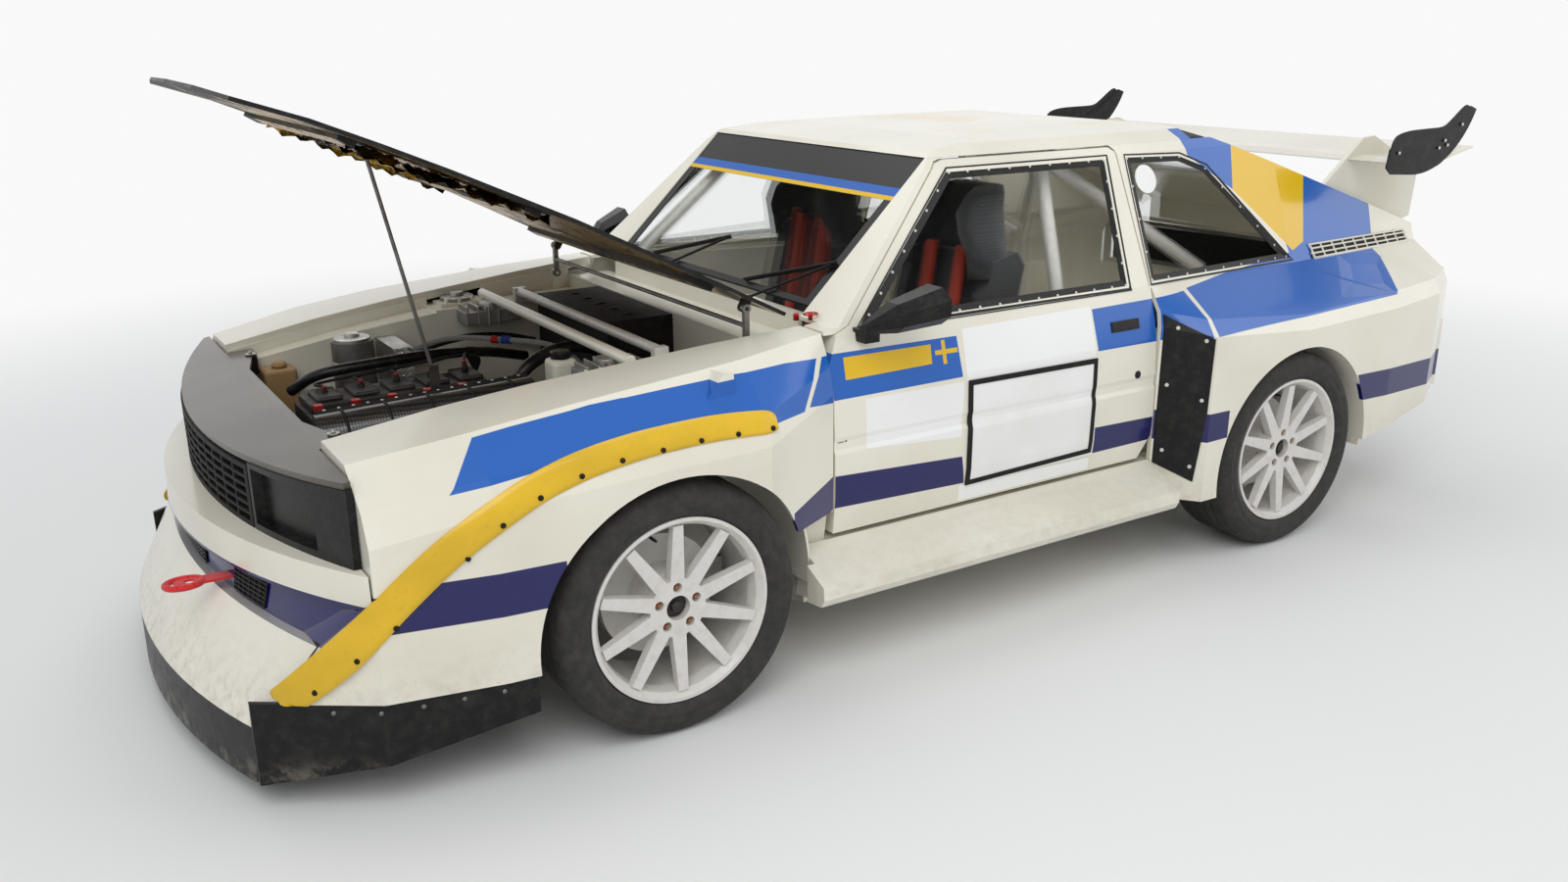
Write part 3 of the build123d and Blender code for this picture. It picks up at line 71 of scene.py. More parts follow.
class Nodes:
    """A shader tree put together by short calls."""

    def __init__(self, name, kind="Material"):
        self.owner = (bpy.data.worlds if kind == "World" else bpy.data.materials).new(name)
        self.owner.use_nodes = True
        self.tree = self.owner.node_tree
        self.tree.nodes.clear()
        self.out = self.tree.nodes.new("ShaderNodeOutput" + kind)
        self.where = self.add("ShaderNodeTexCoord", {})["Object"]
        self.x, self.y, self.z = self.split(self.where)

    def link(self, source, target):
        """Joins a socket, or sets a plain number or colour."""
        if isinstance(source, bpy.types.NodeSocket):
            self.tree.links.new(source, target)
        elif hasattr(source, "__len__") and len(source) == 3 and len(target.default_value) == 4:
            target.default_value = (*source, 1)
        else:
            target.default_value = source

    def add(self, kind, sockets, **settings):
        """A new node with a value in each of the sockets named; gives its outputs."""
        node = self.tree.nodes.new(kind)
        for key, value in settings.items():
            setattr(node, key, value)
        for key, value in sockets.items():
            self.link(value, node.inputs[key])
        return node.outputs

    def split(self, vector):
        return self.add("ShaderNodeSeparateXYZ", {0: vector})

    def math(self, operation, *values, clamp=False):
        return self.add("ShaderNodeMath", dict(enumerate(values)), operation=operation, use_clamp=clamp)[0]

    def times(self, first, second):
        return self.math("MULTIPLY", first, second)

    def line(self, value, slope, start):
        return self.math("MULTIPLY_ADD", value, slope, start)

    def most(self, *values):
        """The largest of several values."""
        return reduce(lambda a, b: self.math("MAXIMUM", a, b), values)

    def mix(self, share, first, second):
        """A colour from first at share 0 to second at share 1."""
        return self.add("ShaderNodeMix", {0: share, 6: first, 7: second}, data_type="RGBA")[2]

    def noise(self, scale, detail=3.0, roughness=0.5, stretch=None):
        where = self.where
        if stretch:
            where = self.add("ShaderNodeMapping", {"Vector": where, "Scale": stretch})[0]
        sockets = {"Scale": scale, "Detail": detail, "Roughness": roughness, "Vector": where}
        return self.add("ShaderNodeTexNoise", sockets)["Fac"]

    def cells(self, scale):
        """How far a point is from the edges of a net of cells."""
        sockets = {"Scale": scale, "Vector": self.where}
        return self.add("ShaderNodeTexVoronoi", sockets, feature="DISTANCE_TO_EDGE")["Distance"]

    def span(self, value, low, high):
        """0 at low, 1 at high."""
        sockets = {"Value": value, "From Min": low, "From Max": high}
        return self.add("ShaderNodeMapRange", sockets, interpolation_type="SMOOTHSTEP")[0]

    def under(self, value, low, high):
        """1 at low, 0 at high."""
        return self.math("SUBTRACT", 1.0, self.span(value, low, high))

    def specks(self, scale, detail, low, high, roughness=0.5, stretch=None):
        """Patches of noise, 0 where it is below low and 1 above high."""
        return self.span(self.noise(scale, detail, roughness, stretch), low, high)

    def inside(self, corners, soft=0.0008):
        """1 inside a convex outline of X and Z corners, 0 outside."""
        area = sum(a[0] * b[1] - b[0] * a[1] for a, b in pairs(corners))
        nearest = None
        for a, b in pairs(corners if area > 0 else corners[::-1]):
            nx, nz = crosswise(a, b)
            side = self.line(self.z, nz, self.line(self.x, nx, -(nx * a[0] + nz * a[1])))
            nearest = side if nearest is None else self.math("MINIMUM", nearest, side)
        return self.math("MULTIPLY_ADD", nearest, 1 / soft, 0.5, clamp=True)

    def bump(self, height, strength, depth, normal=None):
        sockets = {"Strength": strength, "Distance": depth, "Height": height}
        if normal is not None:
            sockets["Normal"] = normal
        return self.add("ShaderNodeBump", sockets)[0]

    def surface(self, colour, roughness, metal=0.0, normal=None, **plain):
        sockets = {"Base Color": colour, "Roughness": roughness, "Metallic": metal}
        if normal is not None:
            sockets["Normal"] = normal
        sockets.update({key.replace("_", " "): value for key, value in plain.items()})
        return self.add("ShaderNodeBsdfPrincipled", sockets)[0]

    def choose(self, share, first, second):
        """A surface from first at share 0 to second at share 1."""
        return self.add("ShaderNodeMixShader", {0: share, 1: first, 2: second})[0]

    def finish(self, surface):
        self.link(surface, self.out.inputs["Surface"])
        return self.owner

    def shade(self, *looks, **plain):
        return self.finish(self.surface(*looks, **plain))


def srgb(*seen):
    """Red, green and blue as seen on a screen, 0 to 255, in the linear values of a shader."""
    return tuple(((c / 255 + 0.055) / 1.055) ** 2.4 if c > 10 else c / 255 / 12.92 for c in seen)


# Colours
MID_BLUE = srgb(16, 92, 180)
NAVY = srgb(20, 20, 86)
YELLOW = srgb(226, 182, 12)
PURE = srgb(238, 238, 236)
PRINT = srgb(14, 14, 15)

# Convex patches of colour seen from the side: corners as X and Z
BLUE_SIDE = (
    ((1.584, 0.709), (1.502, 0.803), (1.417, 0.814), (1.234, 0.834), (1.150, 0.838), (1.150, 0.766)),
    ((1.250, 0.740), (1.250, 0.833), (1.040, 0.843), (0.885, 0.851), (0.711, 0.852), (0.605, 0.846),
     (0.690, 0.740)),
    ((0.586, 0.846), (0.5635, 0.846), (0.5635, 0.729), (0.668, 0.745)),
    ((0.563, 0.846), (0.146, 0.841), (0.140, 0.732), (0.563, 0.731)),
    ((-0.356, 0.852), (-0.606, 0.855), (-0.606, 0.731), (-0.364, 0.733)),
    ((-0.606, 0.856), (-0.722, 0.868), (-0.704, 0.750), (-0.610, 0.734)),
    ((-0.742, 0.872), (-1.330, 0.921), (-1.764, 0.863), (-1.643, 0.770), (-0.718, 0.754)),
    ((-1.300, 0.900), (-1.200, 1.250), (-1.802, 1.040), (-1.790, 0.934), (-1.764, 0.860)),
    ((-0.872, 1.345), (-0.892, 1.243), (-1.073, 1.130), (-1.107, 1.279)),
    ((-0.872, 1.345), (-1.107, 1.279), (-1.107, 1.345)),
)
YELLOW_SIDE = (
    ((-1.110, 1.290), (-1.073, 1.130), (-1.316, 0.922), (-1.383, 0.944), (-1.458, 1.175)),
    ((0.516, 0.833), (0.236, 0.830), (0.238, 0.780), (0.517, 0.777)),
    ((0.224, 0.812), (0.148, 0.811), (0.148, 0.799), (0.224, 0.800)),
    ((0.200, 0.836), (0.188, 0.836), (0.188, 0.774), (0.200, 0.774)),
)
NAVY_SIDE = (
    ((1.760, 0.515), (1.655, 0.528), (1.355, 0.528), (1.348, 0.426), (1.760, 0.428)),
    ((2.130, 0.484), (2.012, 0.486), (1.985, 0.508), (1.911, 0.522), (1.758, 0.517), (1.758, 0.400),
     (2.130, 0.400)),
    ((0.563, 0.532), (0.139, 0.509), (0.127, 0.429), (0.563, 0.444)),
    ((-0.362, 0.505), (-0.612, 0.499), (-0.612, 0.427), (-0.357, 0.425)),
    ((-0.612, 0.519), (-0.800, 0.517), (-0.800, 0.431), (-0.612, 0.427)),
    ((-1.434, 0.531), (-2.130, 0.508), (-2.130, 0.412), (-1.483, 0.438)),
    ((0.563, 0.534), (0.740, 0.496), (0.740, 0.400), (0.563, 0.444)),
)
# Bare white panels where notices were stuck
WHITE_SIDE = (
    ((0.124, 0.856), (-0.350, 0.861), (-0.356, 0.716), (0.126, 0.718)),
    ((0.461, 0.722), (0.134, 0.718), (0.144, 0.566), (0.458, 0.590)),
    ((0.142, 0.424), (-0.352, 0.414), (-0.352, 0.378), (0.142, 0.378)),
)
LIVERY = ((BLUE_SIDE, MID_BLUE), (YELLOW_SIDE, YELLOW), (NAVY_SIDE, NAVY), (WHITE_SIDE, PURE))

# The bands lie on faces that look outward, this far from the middle plane beside and ahead of the doors
BAND_Y = 0.52
WING_BAND_Y = 0.72
# Past these the navy band runs round the ends of the car
NOSE_BAND_X = 1.72
TAIL_BAND_X = -2.08
# Shallow dish pressed into the rear quarter
QUARTER_DISH = ((-1.565, 0.872), (-1.745, 0.858), (-1.632, 0.786), (-1.420, 0.800))


def paint(name, livery):
    """Gloss ivory paint, with the coloured bands where livery is true."""
    n = Nodes(name)
    colour = n.mix(n.specks(2.2, 4.0, 0.35, 0.75), srgb(231, 227, 212), srgb(219, 214, 197))
    if livery:
        normal = {0: n.add("ShaderNodeNewGeometry", {})["True Normal"]}
        turn = n.add("ShaderNodeVectorTransform", normal, vector_type="NORMAL", convert_from="WORLD",
                     convert_to="OBJECT")
        face_x, face_y, _ = n.split(turn[0])
        outward = n.times(n.math("GREATER_THAN", n.times(face_y, n.y), -0.08),
                          n.math("LESS_THAN", n.math("ABSOLUTE", face_x), 0.94))
        limit = n.line(n.math("GREATER_THAN", n.x, DOOR_FRONT_X), WING_BAND_Y - BAND_Y, BAND_Y)
        outer = n.times(n.math("GREATER_THAN", n.math("ABSOLUTE", n.y), limit), outward)
        ends = n.most(n.math("GREATER_THAN", n.x, NOSE_BAND_X), n.math("LESS_THAN", n.x, TAIL_BAND_X))
        for patches, tint in LIVERY:
            whole = n.most(*[n.inside(corners) for corners in patches])
            colour = n.mix(n.times(whole, n.most(outer, ends) if tint is NAVY else outer), colour, tint)
        roof = n.times(n.specks(3.1, 2.0, 0.52, 0.66), n.span(n.z, 1.328, 1.340))
        colour = n.mix(n.times(roof, 0.45), colour, srgb(226, 190, 110))
    low = n.under(n.z, 0.10, 0.42)
    grit = n.times(low, n.specks(38, 6.0, 0.42, 0.70, 0.65))
    colour = n.mix(n.times(grit, 0.55), colour, srgb(150, 140, 120))
    chips = n.times(n.specks(140, 2.0, 0.70, 0.74), n.math("ADD", low, 0.12))
    colour = n.mix(n.times(chips, 0.8), colour, srgb(96, 92, 84))
    wave = n.bump(n.noise(5.0, 2.0), 0.06, 0.01)
    if livery:
        wave = n.bump(n.math("SUBTRACT", 1.0, n.inside(QUARTER_DISH, 0.03)), 0.5, 0.02, wave)
    rough = n.line(grit, 0.35, 0.22)
    return n.shade(colour, rough, normal=wave, Coat_Weight=0.25, Coat_Roughness=0.06, IOR=1.42)


def plain_black(name, tint, rough, bump=0.15, scraped=False):
    """Moulded or painted surface with fine grain, dust and scuffs, scraped at its foot if asked."""
    n = Nodes(name)
    dust = n.specks(30, 6.0, 0.40, 0.80, 0.65)
    colour = n.mix(n.times(dust, 0.12), tint, srgb(112, 106, 96))
    scratch = n.specks(60, 4.0, 0.66, 0.72, stretch=(1, 1, 9))
    colour = n.mix(n.times(scratch, 0.08), colour, srgb(150, 146, 138))
    if scraped:
        scrape = n.times(n.under(n.z, 0.070, 0.150), n.specks(14, 7.0, 0.46, 0.62, 0.7))
        colour = n.mix(n.times(scrape, 0.7), colour, srgb(120, 114, 104))
    grain = n.bump(n.noise(260), bump, 0.002)
    return n.shade(colour, n.line(dust, 0.2, rough), normal=grain, Specular_IOR_Level=0.22)


def metal(name, tint, rough, shine=0.9, scale=90, bump=0.2):
    """Bare or plated metal with grime."""
    n = Nodes(name)
    grime = n.specks(22, 6.0, 0.42, 0.72, 0.65)
    colour = n.mix(n.times(grime, 0.45), tint, srgb(70, 62, 52))
    grain = n.bump(n.noise(scale, 5.0), bump, 0.003)
    return n.shade(colour, n.line(grime, 0.3, rough), n.line(grime, -0.35, shine), grain)


def carbon(name):
    """Woven carbon laminate under clear resin."""
    n = Nodes(name)
    along, upward = n.times(n.x, 420), n.times(n.z, 420)
    waves = [n.math("SINE", n.math(operation, along, upward)) for operation in ("ADD", "SUBTRACT")]
    weave = n.times(*waves)
    colour = n.mix(n.span(weave, -0.4, 0.4), srgb(16, 16, 17), srgb(58, 58, 60))
    return n.shade(colour, 0.34, 0.15, n.bump(weave, 0.3, 0.001), Coat_Weight=0.6, Coat_Roughness=0.12)


def glass(name, tint, alpha):
    """Clear pane with smears."""
    n = Nodes(name)
    rough = n.line(n.specks(9, 5.0, 0.45, 0.8), 0.12, 0.03)
    material = n.shade(tint, rough, Transmission_Weight=1.0, IOR=1.02, Alpha=alpha)
    material.surface_render_method = "BLENDED"
    return material


def banded_glass(name, screen):
    """A pane with a printed black border, and the sun strip where it is the windscreen."""
    n = Nodes(name)
    colour = PRINT
    band = n.span(n.math("ABSOLUTE", n.y), 0.528, 0.5295)
    if screen:
        band = n.most(band, n.span(n.z, 1.1815, 1.1825), n.under(n.z, 0.938, 0.9395))
        for low, high, tint in ((1.192, 1.212, MID_BLUE), (1.182, 1.192, YELLOW)):
            stripe = n.times(n.span(n.z, low, low + 0.001), n.under(n.z, high, high + 0.001))
            colour = n.mix(stripe, colour, tint)
    else:
        band = n.most(band, n.span(n.x, -0.965, -0.9635), n.under(n.x, -1.497, -1.4955))
    rough = n.line(n.specks(9, 5.0, 0.45, 0.8), 0.10, 0.03)
    clear = n.surface((0.80, 0.84, 0.83), rough, Transmission_Weight=1.0, IOR=1.02, Alpha=0.4)
    printed = n.surface(colour, 0.28, Specular_IOR_Level=0.2)
    return n.finish(n.choose(band, clear, printed))


def tint_paint(name, tint):
    """Gloss colour with chips down to black."""
    n = Nodes(name)
    shade = n.mix(n.specks(6, 3.0, 0.3, 0.7), tint, tuple(c * 0.84 for c in tint))
    worn = n.times(n.specks(52, 5.0, 0.60, 0.63, 0.7), n.math("ADD", n.under(n.z, 0.235, 0.300), 0.08))
    colour = n.mix(worn, shade, srgb(34, 32, 30))
    grain = n.bump(n.noise(70), 0.06, 0.001)
    return n.shade(colour, 0.36, normal=grain, Coat_Weight=0.2, Coat_Roughness=0.2)


def foil(name):
    """Black laminate with patches of gold heat foil, creased."""
    n = Nodes(name)
    gilt = n.times(n.specks(3.4, 3.0, 0.46, 0.50), n.specks(26, 4.0, 0.36, 0.44))
    colour = n.mix(gilt, srgb(22, 21, 20), srgb(168, 132, 64))
    return n.shade(colour, n.line(gilt, -0.25, 0.55), n.times(gilt, 0.85), n.bump(n.cells(34), 0.7, 0.006))


def mottled(name, patches, first, second, rough, shine=0.0, net=0, crease=0.6, **coat):
    """Patches of two tints, over a net of creases where one is given."""
    n = Nodes(name)
    colour = n.mix(n.specks(*patches), first, second)
    return n.shade(colour, rough, shine, n.bump(n.cells(net), crease, 0.004) if net else None, **coat)


def lens(name):
    """Ribbed red lens with an amber outer end and a clear inner end."""
    n = Nodes(name)
    away = n.math("ABSOLUTE", n.y)
    colour = n.mix(n.span(away, 0.612, 0.614), srgb(96, 6, 8), srgb(190, 88, 8))
    colour = n.mix(n.under(away, 0.386, 0.388), colour, srgb(176, 172, 164))
    ribs = n.math("SINE", n.times(n.z, 520))
    return n.shade(colour, 0.22, normal=n.bump(ribs, 0.2, 0.001), Specular_IOR_Level=0.2)


def rubber(name):
    """Dusty tyre rubber."""
    n = Nodes(name)
    dust = n.specks(34, 8.0, 0.30, 0.80, 0.7)
    colour = n.mix(dust, srgb(33, 32, 31), srgb(62, 60, 56))
    return n.shade(colour, n.line(dust, 0.12, 0.78), normal=n.bump(n.noise(190, 4.0), 0.3, 0.002))


def rim_paint(name):
    """White enamel with brake dust."""
    n = Nodes(name)
    dust = n.specks(44, 6.0, 0.4, 0.8, 0.65)
    colour = n.mix(n.times(dust, 0.3), srgb(216, 213, 207), srgb(168, 158, 146))
    grain = n.bump(n.noise(300), 0.08, 0.001)
    return n.shade(colour, n.line(dust, 0.2, 0.32), normal=grain, Coat_Weight=0.25, Coat_Roughness=0.2)


def cloth(name, tint, scale=900):
    """Plain weave of threads."""
    n = Nodes(name)
    weave = n.times(n.math("SINE", n.times(n.z, scale)), n.math("SINE", n.times(n.y, scale)))
    pale = tuple(min(1.0, c * 1.9 + 0.01) for c in tint)
    colour = n.mix(n.span(weave, -0.8, 0.8), tint, pale)
    return n.shade(colour, 0.9, normal=n.bump(weave, 0.35, 0.001), Sheen_Weight=0.3, Sheen_Roughness=0.5)


# Surfaces of the nodes and pieces
MATERIALS = {
    "paint": paint("paint_livery", True),
    "white": paint("paint_plain", False),
    "laminate": plain_black("black_laminate", srgb(19, 19, 20), 0.36, scraped=True),
    "mould": plain_black("black_mould", srgb(16, 16, 17), 0.26),
    "matt": plain_black("matt_black", srgb(15, 15, 16), 0.60),
    "slam": mottled("slam_lacquer", (3.5, 2.0, 0.3, 0.7), srgb(92, 86, 76), srgb(70, 65, 57), 0.36, 0.35,
                    Coat_Weight=0.4, Coat_Roughness=0.15),
    "steel": metal("dusty_steel", srgb(120, 118, 114), 0.42),
    "cast": metal("cast_alloy", srgb(150, 148, 142), 0.46, 0.85, 60, 0.5),
    "engine": metal("dark_casting", srgb(48, 46, 44), 0.5, 0.5, 60, 0.4),
    "tin": metal("heat_tinted", srgb(150, 132, 108), 0.38, 0.9, 50, 0.2),
    "bright": metal("bright_zinc", srgb(196, 194, 188), 0.28, 0.95, 200, 0.05),
    "carbon": carbon("carbon_weave"),
    "glass": glass("clear_pane", (0.86, 0.89, 0.88), 0.35),
    "rubber": rubber("tyre_rubber"),
    "rim": rim_paint("rim_enamel"),
    "cage": rim_paint("cage_paint"),
    "seat": cloth("seat_cloth", srgb(38, 38, 40)),
    "strap": cloth("red_webbing", srgb(176, 26, 28), 1400),
    "webbing": cloth("dark_red_webbing", srgb(96, 18, 18), 1400),
    "lens": lens("lamp_lens"),
    "strip": tint_paint("strip_yellow", YELLOW),
    "screw": plain_black("white_screw", srgb(210, 208, 200), 0.35, 0.02),
    "board": mottled("bare_board", (5, 3.0, 0.3, 0.8), srgb(236, 236, 234), srgb(228, 227, 222), 0.34),
    "mirror": metal("mirror_pane", srgb(200, 205, 208), 0.03, 1.0, 10, 0.0),
    "copper": metal("copper_nut", srgb(168, 112, 78), 0.36, 0.9, 120, 0.1),
    "milky": plain_black("milky_plastic", srgb(214, 212, 196), 0.35, 0.02),
    "duct": plain_black("olive_duct", srgb(96, 92, 76), 0.5, 0.1),
    "quilt": mottled("quilted_foil", (8, 4.0, 0.3, 0.7), srgb(206, 206, 204), srgb(150, 150, 148), 0.28,
                     0.9, 150, 0.9),
    "gold": mottled("gold_foil", (11, 4.0, 0.48, 0.58), srgb(206, 164, 58), srgb(58, 48, 26), 0.26, 0.9,
                    70),
    "pad": cloth("orange_red_pad", srgb(150, 44, 26), 1400),
    "tan": plain_black("tan_casting", srgb(158, 128, 88), 0.5, 0.2),
    "braid": cloth("braided_steel", srgb(96, 96, 94), 2600),
    "anodised_blue": metal("anodised_blue", srgb(24, 60, 150), 0.3, 0.8, 100, 0.02),
    "anodised_red": metal("anodised_red", srgb(176, 24, 22), 0.34, 0.6, 100, 0.02),
    "foil": foil("bonnet_foil"),
    "screen": banded_glass("screen_pane", True),
    "back_screen": banded_glass("rear_pane", False),
}

# The surface that each node of the frame takes
FINISH = {
    "paint": ("front_wings", "nose_cone", "door_left", "door_right", "rear_quarters", "roof_panel",
              "pillars", "side_sills", "rear_bumper", "rear_scuttle"),
    "white": ("bonnet", "boot_lid", "cowl", "inner_wings", "rear_wing", "floor_pan", "boot_floor",
              "rear_wheelhouses", "strut_brace"),
    "laminate": ("front_splitter", "stone_guards"),
    "mould": ("headlamps", "mirror_left", "mirror_right"),
    "matt": ("grille", "dashboard", "steering_column", "wipers", "bay_boxes", "tail_panel"),
    "slam": ("slam_panel",),
    "steel": ("bonnet_links", "prop_rod", "knuckle_left", "knuckle_right", "front_suspension",
              "rear_suspension", "driveshafts"),
    "cast": ("gearbox", "radiator"),
    "engine": ("engine_block",),
    "tin": ("exhaust",),
    "carbon": ("intake_plenum",),
    "glass": ("door_glass_left", "door_glass_right", "quarter_windows"),
    "screen": ("windscreen",),
    "back_screen": ("rear_window",),
    "rubber": ("tyre_fl", "tyre_fr", "tyre_rl", "tyre_rr"),
    "rim": ("rim_fl", "rim_fr", "rim_rl", "rim_rr"),
    "cage": ("roll_cage",),
    "seat": ("seats",),
    "strap": ("tow_loop",),
    "lens": ("tail_lamps",),
}


def dress_nodes():
    """Gives each node of the frame its finish."""
    for key, names in FINISH.items():
        for name in names:
            NODES[name].data.materials.clear()
            NODES[name].data.materials.append(MATERIALS[key])


def touch_up(name, key, chosen):
    """Gives the faces of a node that chosen picks, by middle and normal, another finish."""
    node = NODES[name]
    node.data.materials.append(MATERIALS[key])
    index = len(node.data.materials) - 1
    for face in node.data.polygons:
        if chosen(node.matrix_world @ face.center, face.normal):
            face.material_index = index


# Width of the rounded edges
ROUNDED = {
    "front_wings": 0.012, "nose_cone": 0.010, "door_left": 0.006, "door_right": 0.006,
    "rear_quarters": 0.012, "roof_panel": 0.008, "pillars": 0.004, "side_sills": 0.005,
    "rear_bumper": 0.008, "boot_lid": 0.005, "bonnet": 0.004, "front_splitter": 0.004,
    "slam_panel": 0.004, "headlamps": 0.004, "mirror_left": 0.022, "mirror_right": 0.022,
    "rear_wing": 0.004, "stone_guards": 0.0015, "cowl": 0.003, "grille": 0.001,
    "strut_brace": 0.002, "seats": 0.02, "dashboard": 0.012, "rim_fl": 0.002, "rim_fr": 0.002,
    "rim_rl": 0.002, "rim_rr": 0.002, "bay_boxes": 0.006, "engine_block": 0.010, "gearbox": 0.010,
    "inner_wings": 0.003,
}


def soften(node, width):
    """Merges flat triangles, rounds the edges and evens the shading."""
    flat = node.modifiers.new("flat", "DECIMATE")
    flat.decimate_type = "DISSOLVE"
    flat.angle_limit = math.radians(0.2 if node.name in ("bonnet", "slam_panel") else 1.0)
    edge = node.modifiers.new("edge", "BEVEL")
    edge.width = width
    edge.segments = 3
    edge.limit_method = "ANGLE"
    edge.angle_limit = math.radians(24)
    edge.harden_normals = False
    edge.use_clamp_overlap = True
    for face in node.data.polygons:
        face.use_smooth = True
    even = node.modifiers.new("even", "WEIGHTED_NORMAL")
    even.keep_sharp = False


def tree_of(*names):
    """A search tree over the faces of these nodes at rest."""
    points, faces = [], []
    for name in names:
        node = NODES[name]
        first = len(points)
        points += [node.matrix_world @ v.co for v in node.data.vertices]
        faces += [[first + i for i in p.vertices] for p in node.data.polygons]
    return BVHTree.FromPolygons(points, faces)


SIDE_TREE = tree_of("front_wings", "nose_cone", "door_left", "door_right", "door_glass_left",
                    "door_glass_right", "quarter_windows", "rear_quarters", "stone_guards", "pillars")
NOSE_TREE = tree_of("nose_cone")


def from_side(tree, x, z, side, reach=1.2):
    """Where a line from beside the car at X, Z meets a tree, and the way the skin there faces."""
    return tree.ray_cast(Vector((x, side * BESIDE_Y, z)), Vector((0, -side, 0)), reach)[:2]


def from_behind(tree, y, z):
    """Where a line from behind the car at Y, Z meets a tree."""
    return tree.ray_cast(Vector((BEHIND_X, y, z)), Vector((1, 0, 0)), 2.0)[0]


def on_nose(y, z, lift):
    """A point this far off the nose, on a line from ahead at Y, Z."""
    place, normal, _, _ = NOSE_TREE.ray_cast(Vector((AHEAD_X, y, z)), Vector((-1, 0, 0)), 2.0)
    return place + normal * lift if place is not None else Vector((1.98 + lift, y, z))


def on_side(x, z, side):
    """Where a line from the side at X, Z meets the body, and the way its skin faces."""
    place, normal = from_side(SIDE_TREE, x, z, side)
    return (place, normal) if place is not None else (Vector((x, side * 0.8, z)), Vector((0, side, 0)))


def off_side(x, z, side, lift):
    """A point this far off the body's side at X, Z."""
    place, normal = on_side(x, z, side)
    return place + normal * lift


def smooth_path(points, steps):
    """Points on a smooth line through the given ones."""
    ends = [points[0]] + list(points) + [points[-1]]
    line = []
    for span in zip(ends, ends[1:], ends[2:], ends[3:]):
        for t in (i / steps for i in range(steps)):
            place = []
            for p, q, r, s in zip(*span):
                bend = (2 * p - 5 * q + 4 * r - s) * t * t
                place.append(0.5 * (2 * q + (r - p) * t + bend + (3 * q - p - 3 * r + s) * t ** 3))
            line.append(tuple(place))
    return line + [tuple(points[-1])]


def level_ring(x, y, z, wide, deep, count):
    """A closed level oval about a point."""
    turns = [2 * math.pi * k / count for k in range(count + 1)]
    return [(x + wide * math.cos(a), y + deep * math.sin(a), z) for a in turns]


class Kit:
    """Collects small solids in one mesh."""

    def __init__(self):
        self.bm = bmesh.new()

    def grid(self, rows, closed_rows=False, capped=False):
        """A surface through rows of points, each row as long as the next."""
        made = [[self.bm.verts.new(p) for p in row] for row in rows]
        for low, high in zip(made, made[1:]):
            span = len(low) if closed_rows else len(low) - 1
            for i in range(span):
                j = (i + 1) % len(low)
                self.bm.faces.new((low[i], low[j], high[j], high[i]))
        if capped:
            self.bm.faces.new(made[0][::-1])
            self.bm.faces.new(made[-1])

    def tube(self, points, radius, sides=12):
        """A round bar along points; radius is one number or one for each point."""
        points = [Vector(p) for p in points]
        radii = radius if hasattr(radius, "__len__") else [radius] * len(points)
        turns = [2 * math.pi * k / sides for k in range(sides)]
        rings = []
        across = None
        for i, p in enumerate(points):
            ahead = (points[min(i + 1, len(points) - 1)] - points[max(i - 1, 0)]).normalized()
            if across is None:
                across = Vector(UP) if abs(ahead.z) < 0.9 else Vector((1, 0, 0))
            across = (across - ahead * across.dot(ahead)).normalized()
            beside = ahead.cross(across)
            rings.append([p + radii[i] * (math.cos(a) * across + math.sin(a) * beside) for a in turns])
        self.grid(rings, True, True)

    def boss(self, foot, out, depths, radii, sides):
        """A round piece on foot: its depths along out, and one radius or one at each depth."""
        self.tube([Vector(foot) + Vector(out) * deep for deep in depths], radii, sides)

    def dome(self, place, normal, radius, height=None, sides=10):
        """A low round head, as of a screw."""
        place, normal = Vector(place), Vector(normal).normalized()
        height = radius * 0.5 if height is None else height
        self.tube([place + normal * height * t for t in (-0.3, 0.55, 0.9, 1)],
                  [radius, radius, radius * 0.72, radius * 0.3], sides)

    def box(self, low, high):
        """A box between two corners."""
        ends = list(zip(low, high))
        v = [self.bm.verts.new((x, y, z)) for x in ends[0] for y in ends[1] for z in ends[2]]
        for ring in ((0, 1, 3, 2), (4, 6, 7, 5), (0, 4, 5, 1), (2, 3, 7, 6), (0, 2, 6, 4), (1, 5, 7, 3)):
            self.bm.faces.new([v[i] for i in ring])

    def plate(self, outer, lift):
        """A thin plate whose face is the ring of points, lift deep along its own normal."""
        outer = [Vector(p) for p in outer]
        normal = sum(((a - outer[0]).cross(b - outer[0]) for a, b in zip(outer[1:], outer[2:])), Vector())
        normal.normalize()
        top = [self.bm.verts.new(p + normal * lift) for p in outer]
        low = [self.bm.verts.new(p) for p in outer]
        self.bm.faces.new(top)
        self.bm.faces.new(low[::-1])
        for i in range(len(top)):
            j = (i + 1) % len(top)
            self.bm.faces.new((low[i], low[j], top[j], top[i]))

    def make(self, name, material, body, round_width=0.0, smooth=True):
        """The finished piece, riding on its body."""
        bmesh.ops.recalc_face_normals(self.bm, faces=self.bm.faces)
        mesh = bpy.data.meshes.new(name)
        self.bm.to_mesh(mesh)
        self.bm.free()
        piece = bpy.data.objects.new(name, mesh)
        bpy.context.scene.collection.objects.link(piece)
        mesh.materials.append(MATERIALS[material])
        if smooth:
            mesh.shade_smooth()
        if round_width:
            edge = piece.modifiers.new("edge", "BEVEL")
            edge.width = round_width
            edge.segments = 2
            edge.angle_limit = math.radians(30)
        if smooth:
            even = piece.modifiers.new("even", "WEIGHTED_NORMAL")
            even.keep_sharp = True
        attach(piece, body)
        return piece


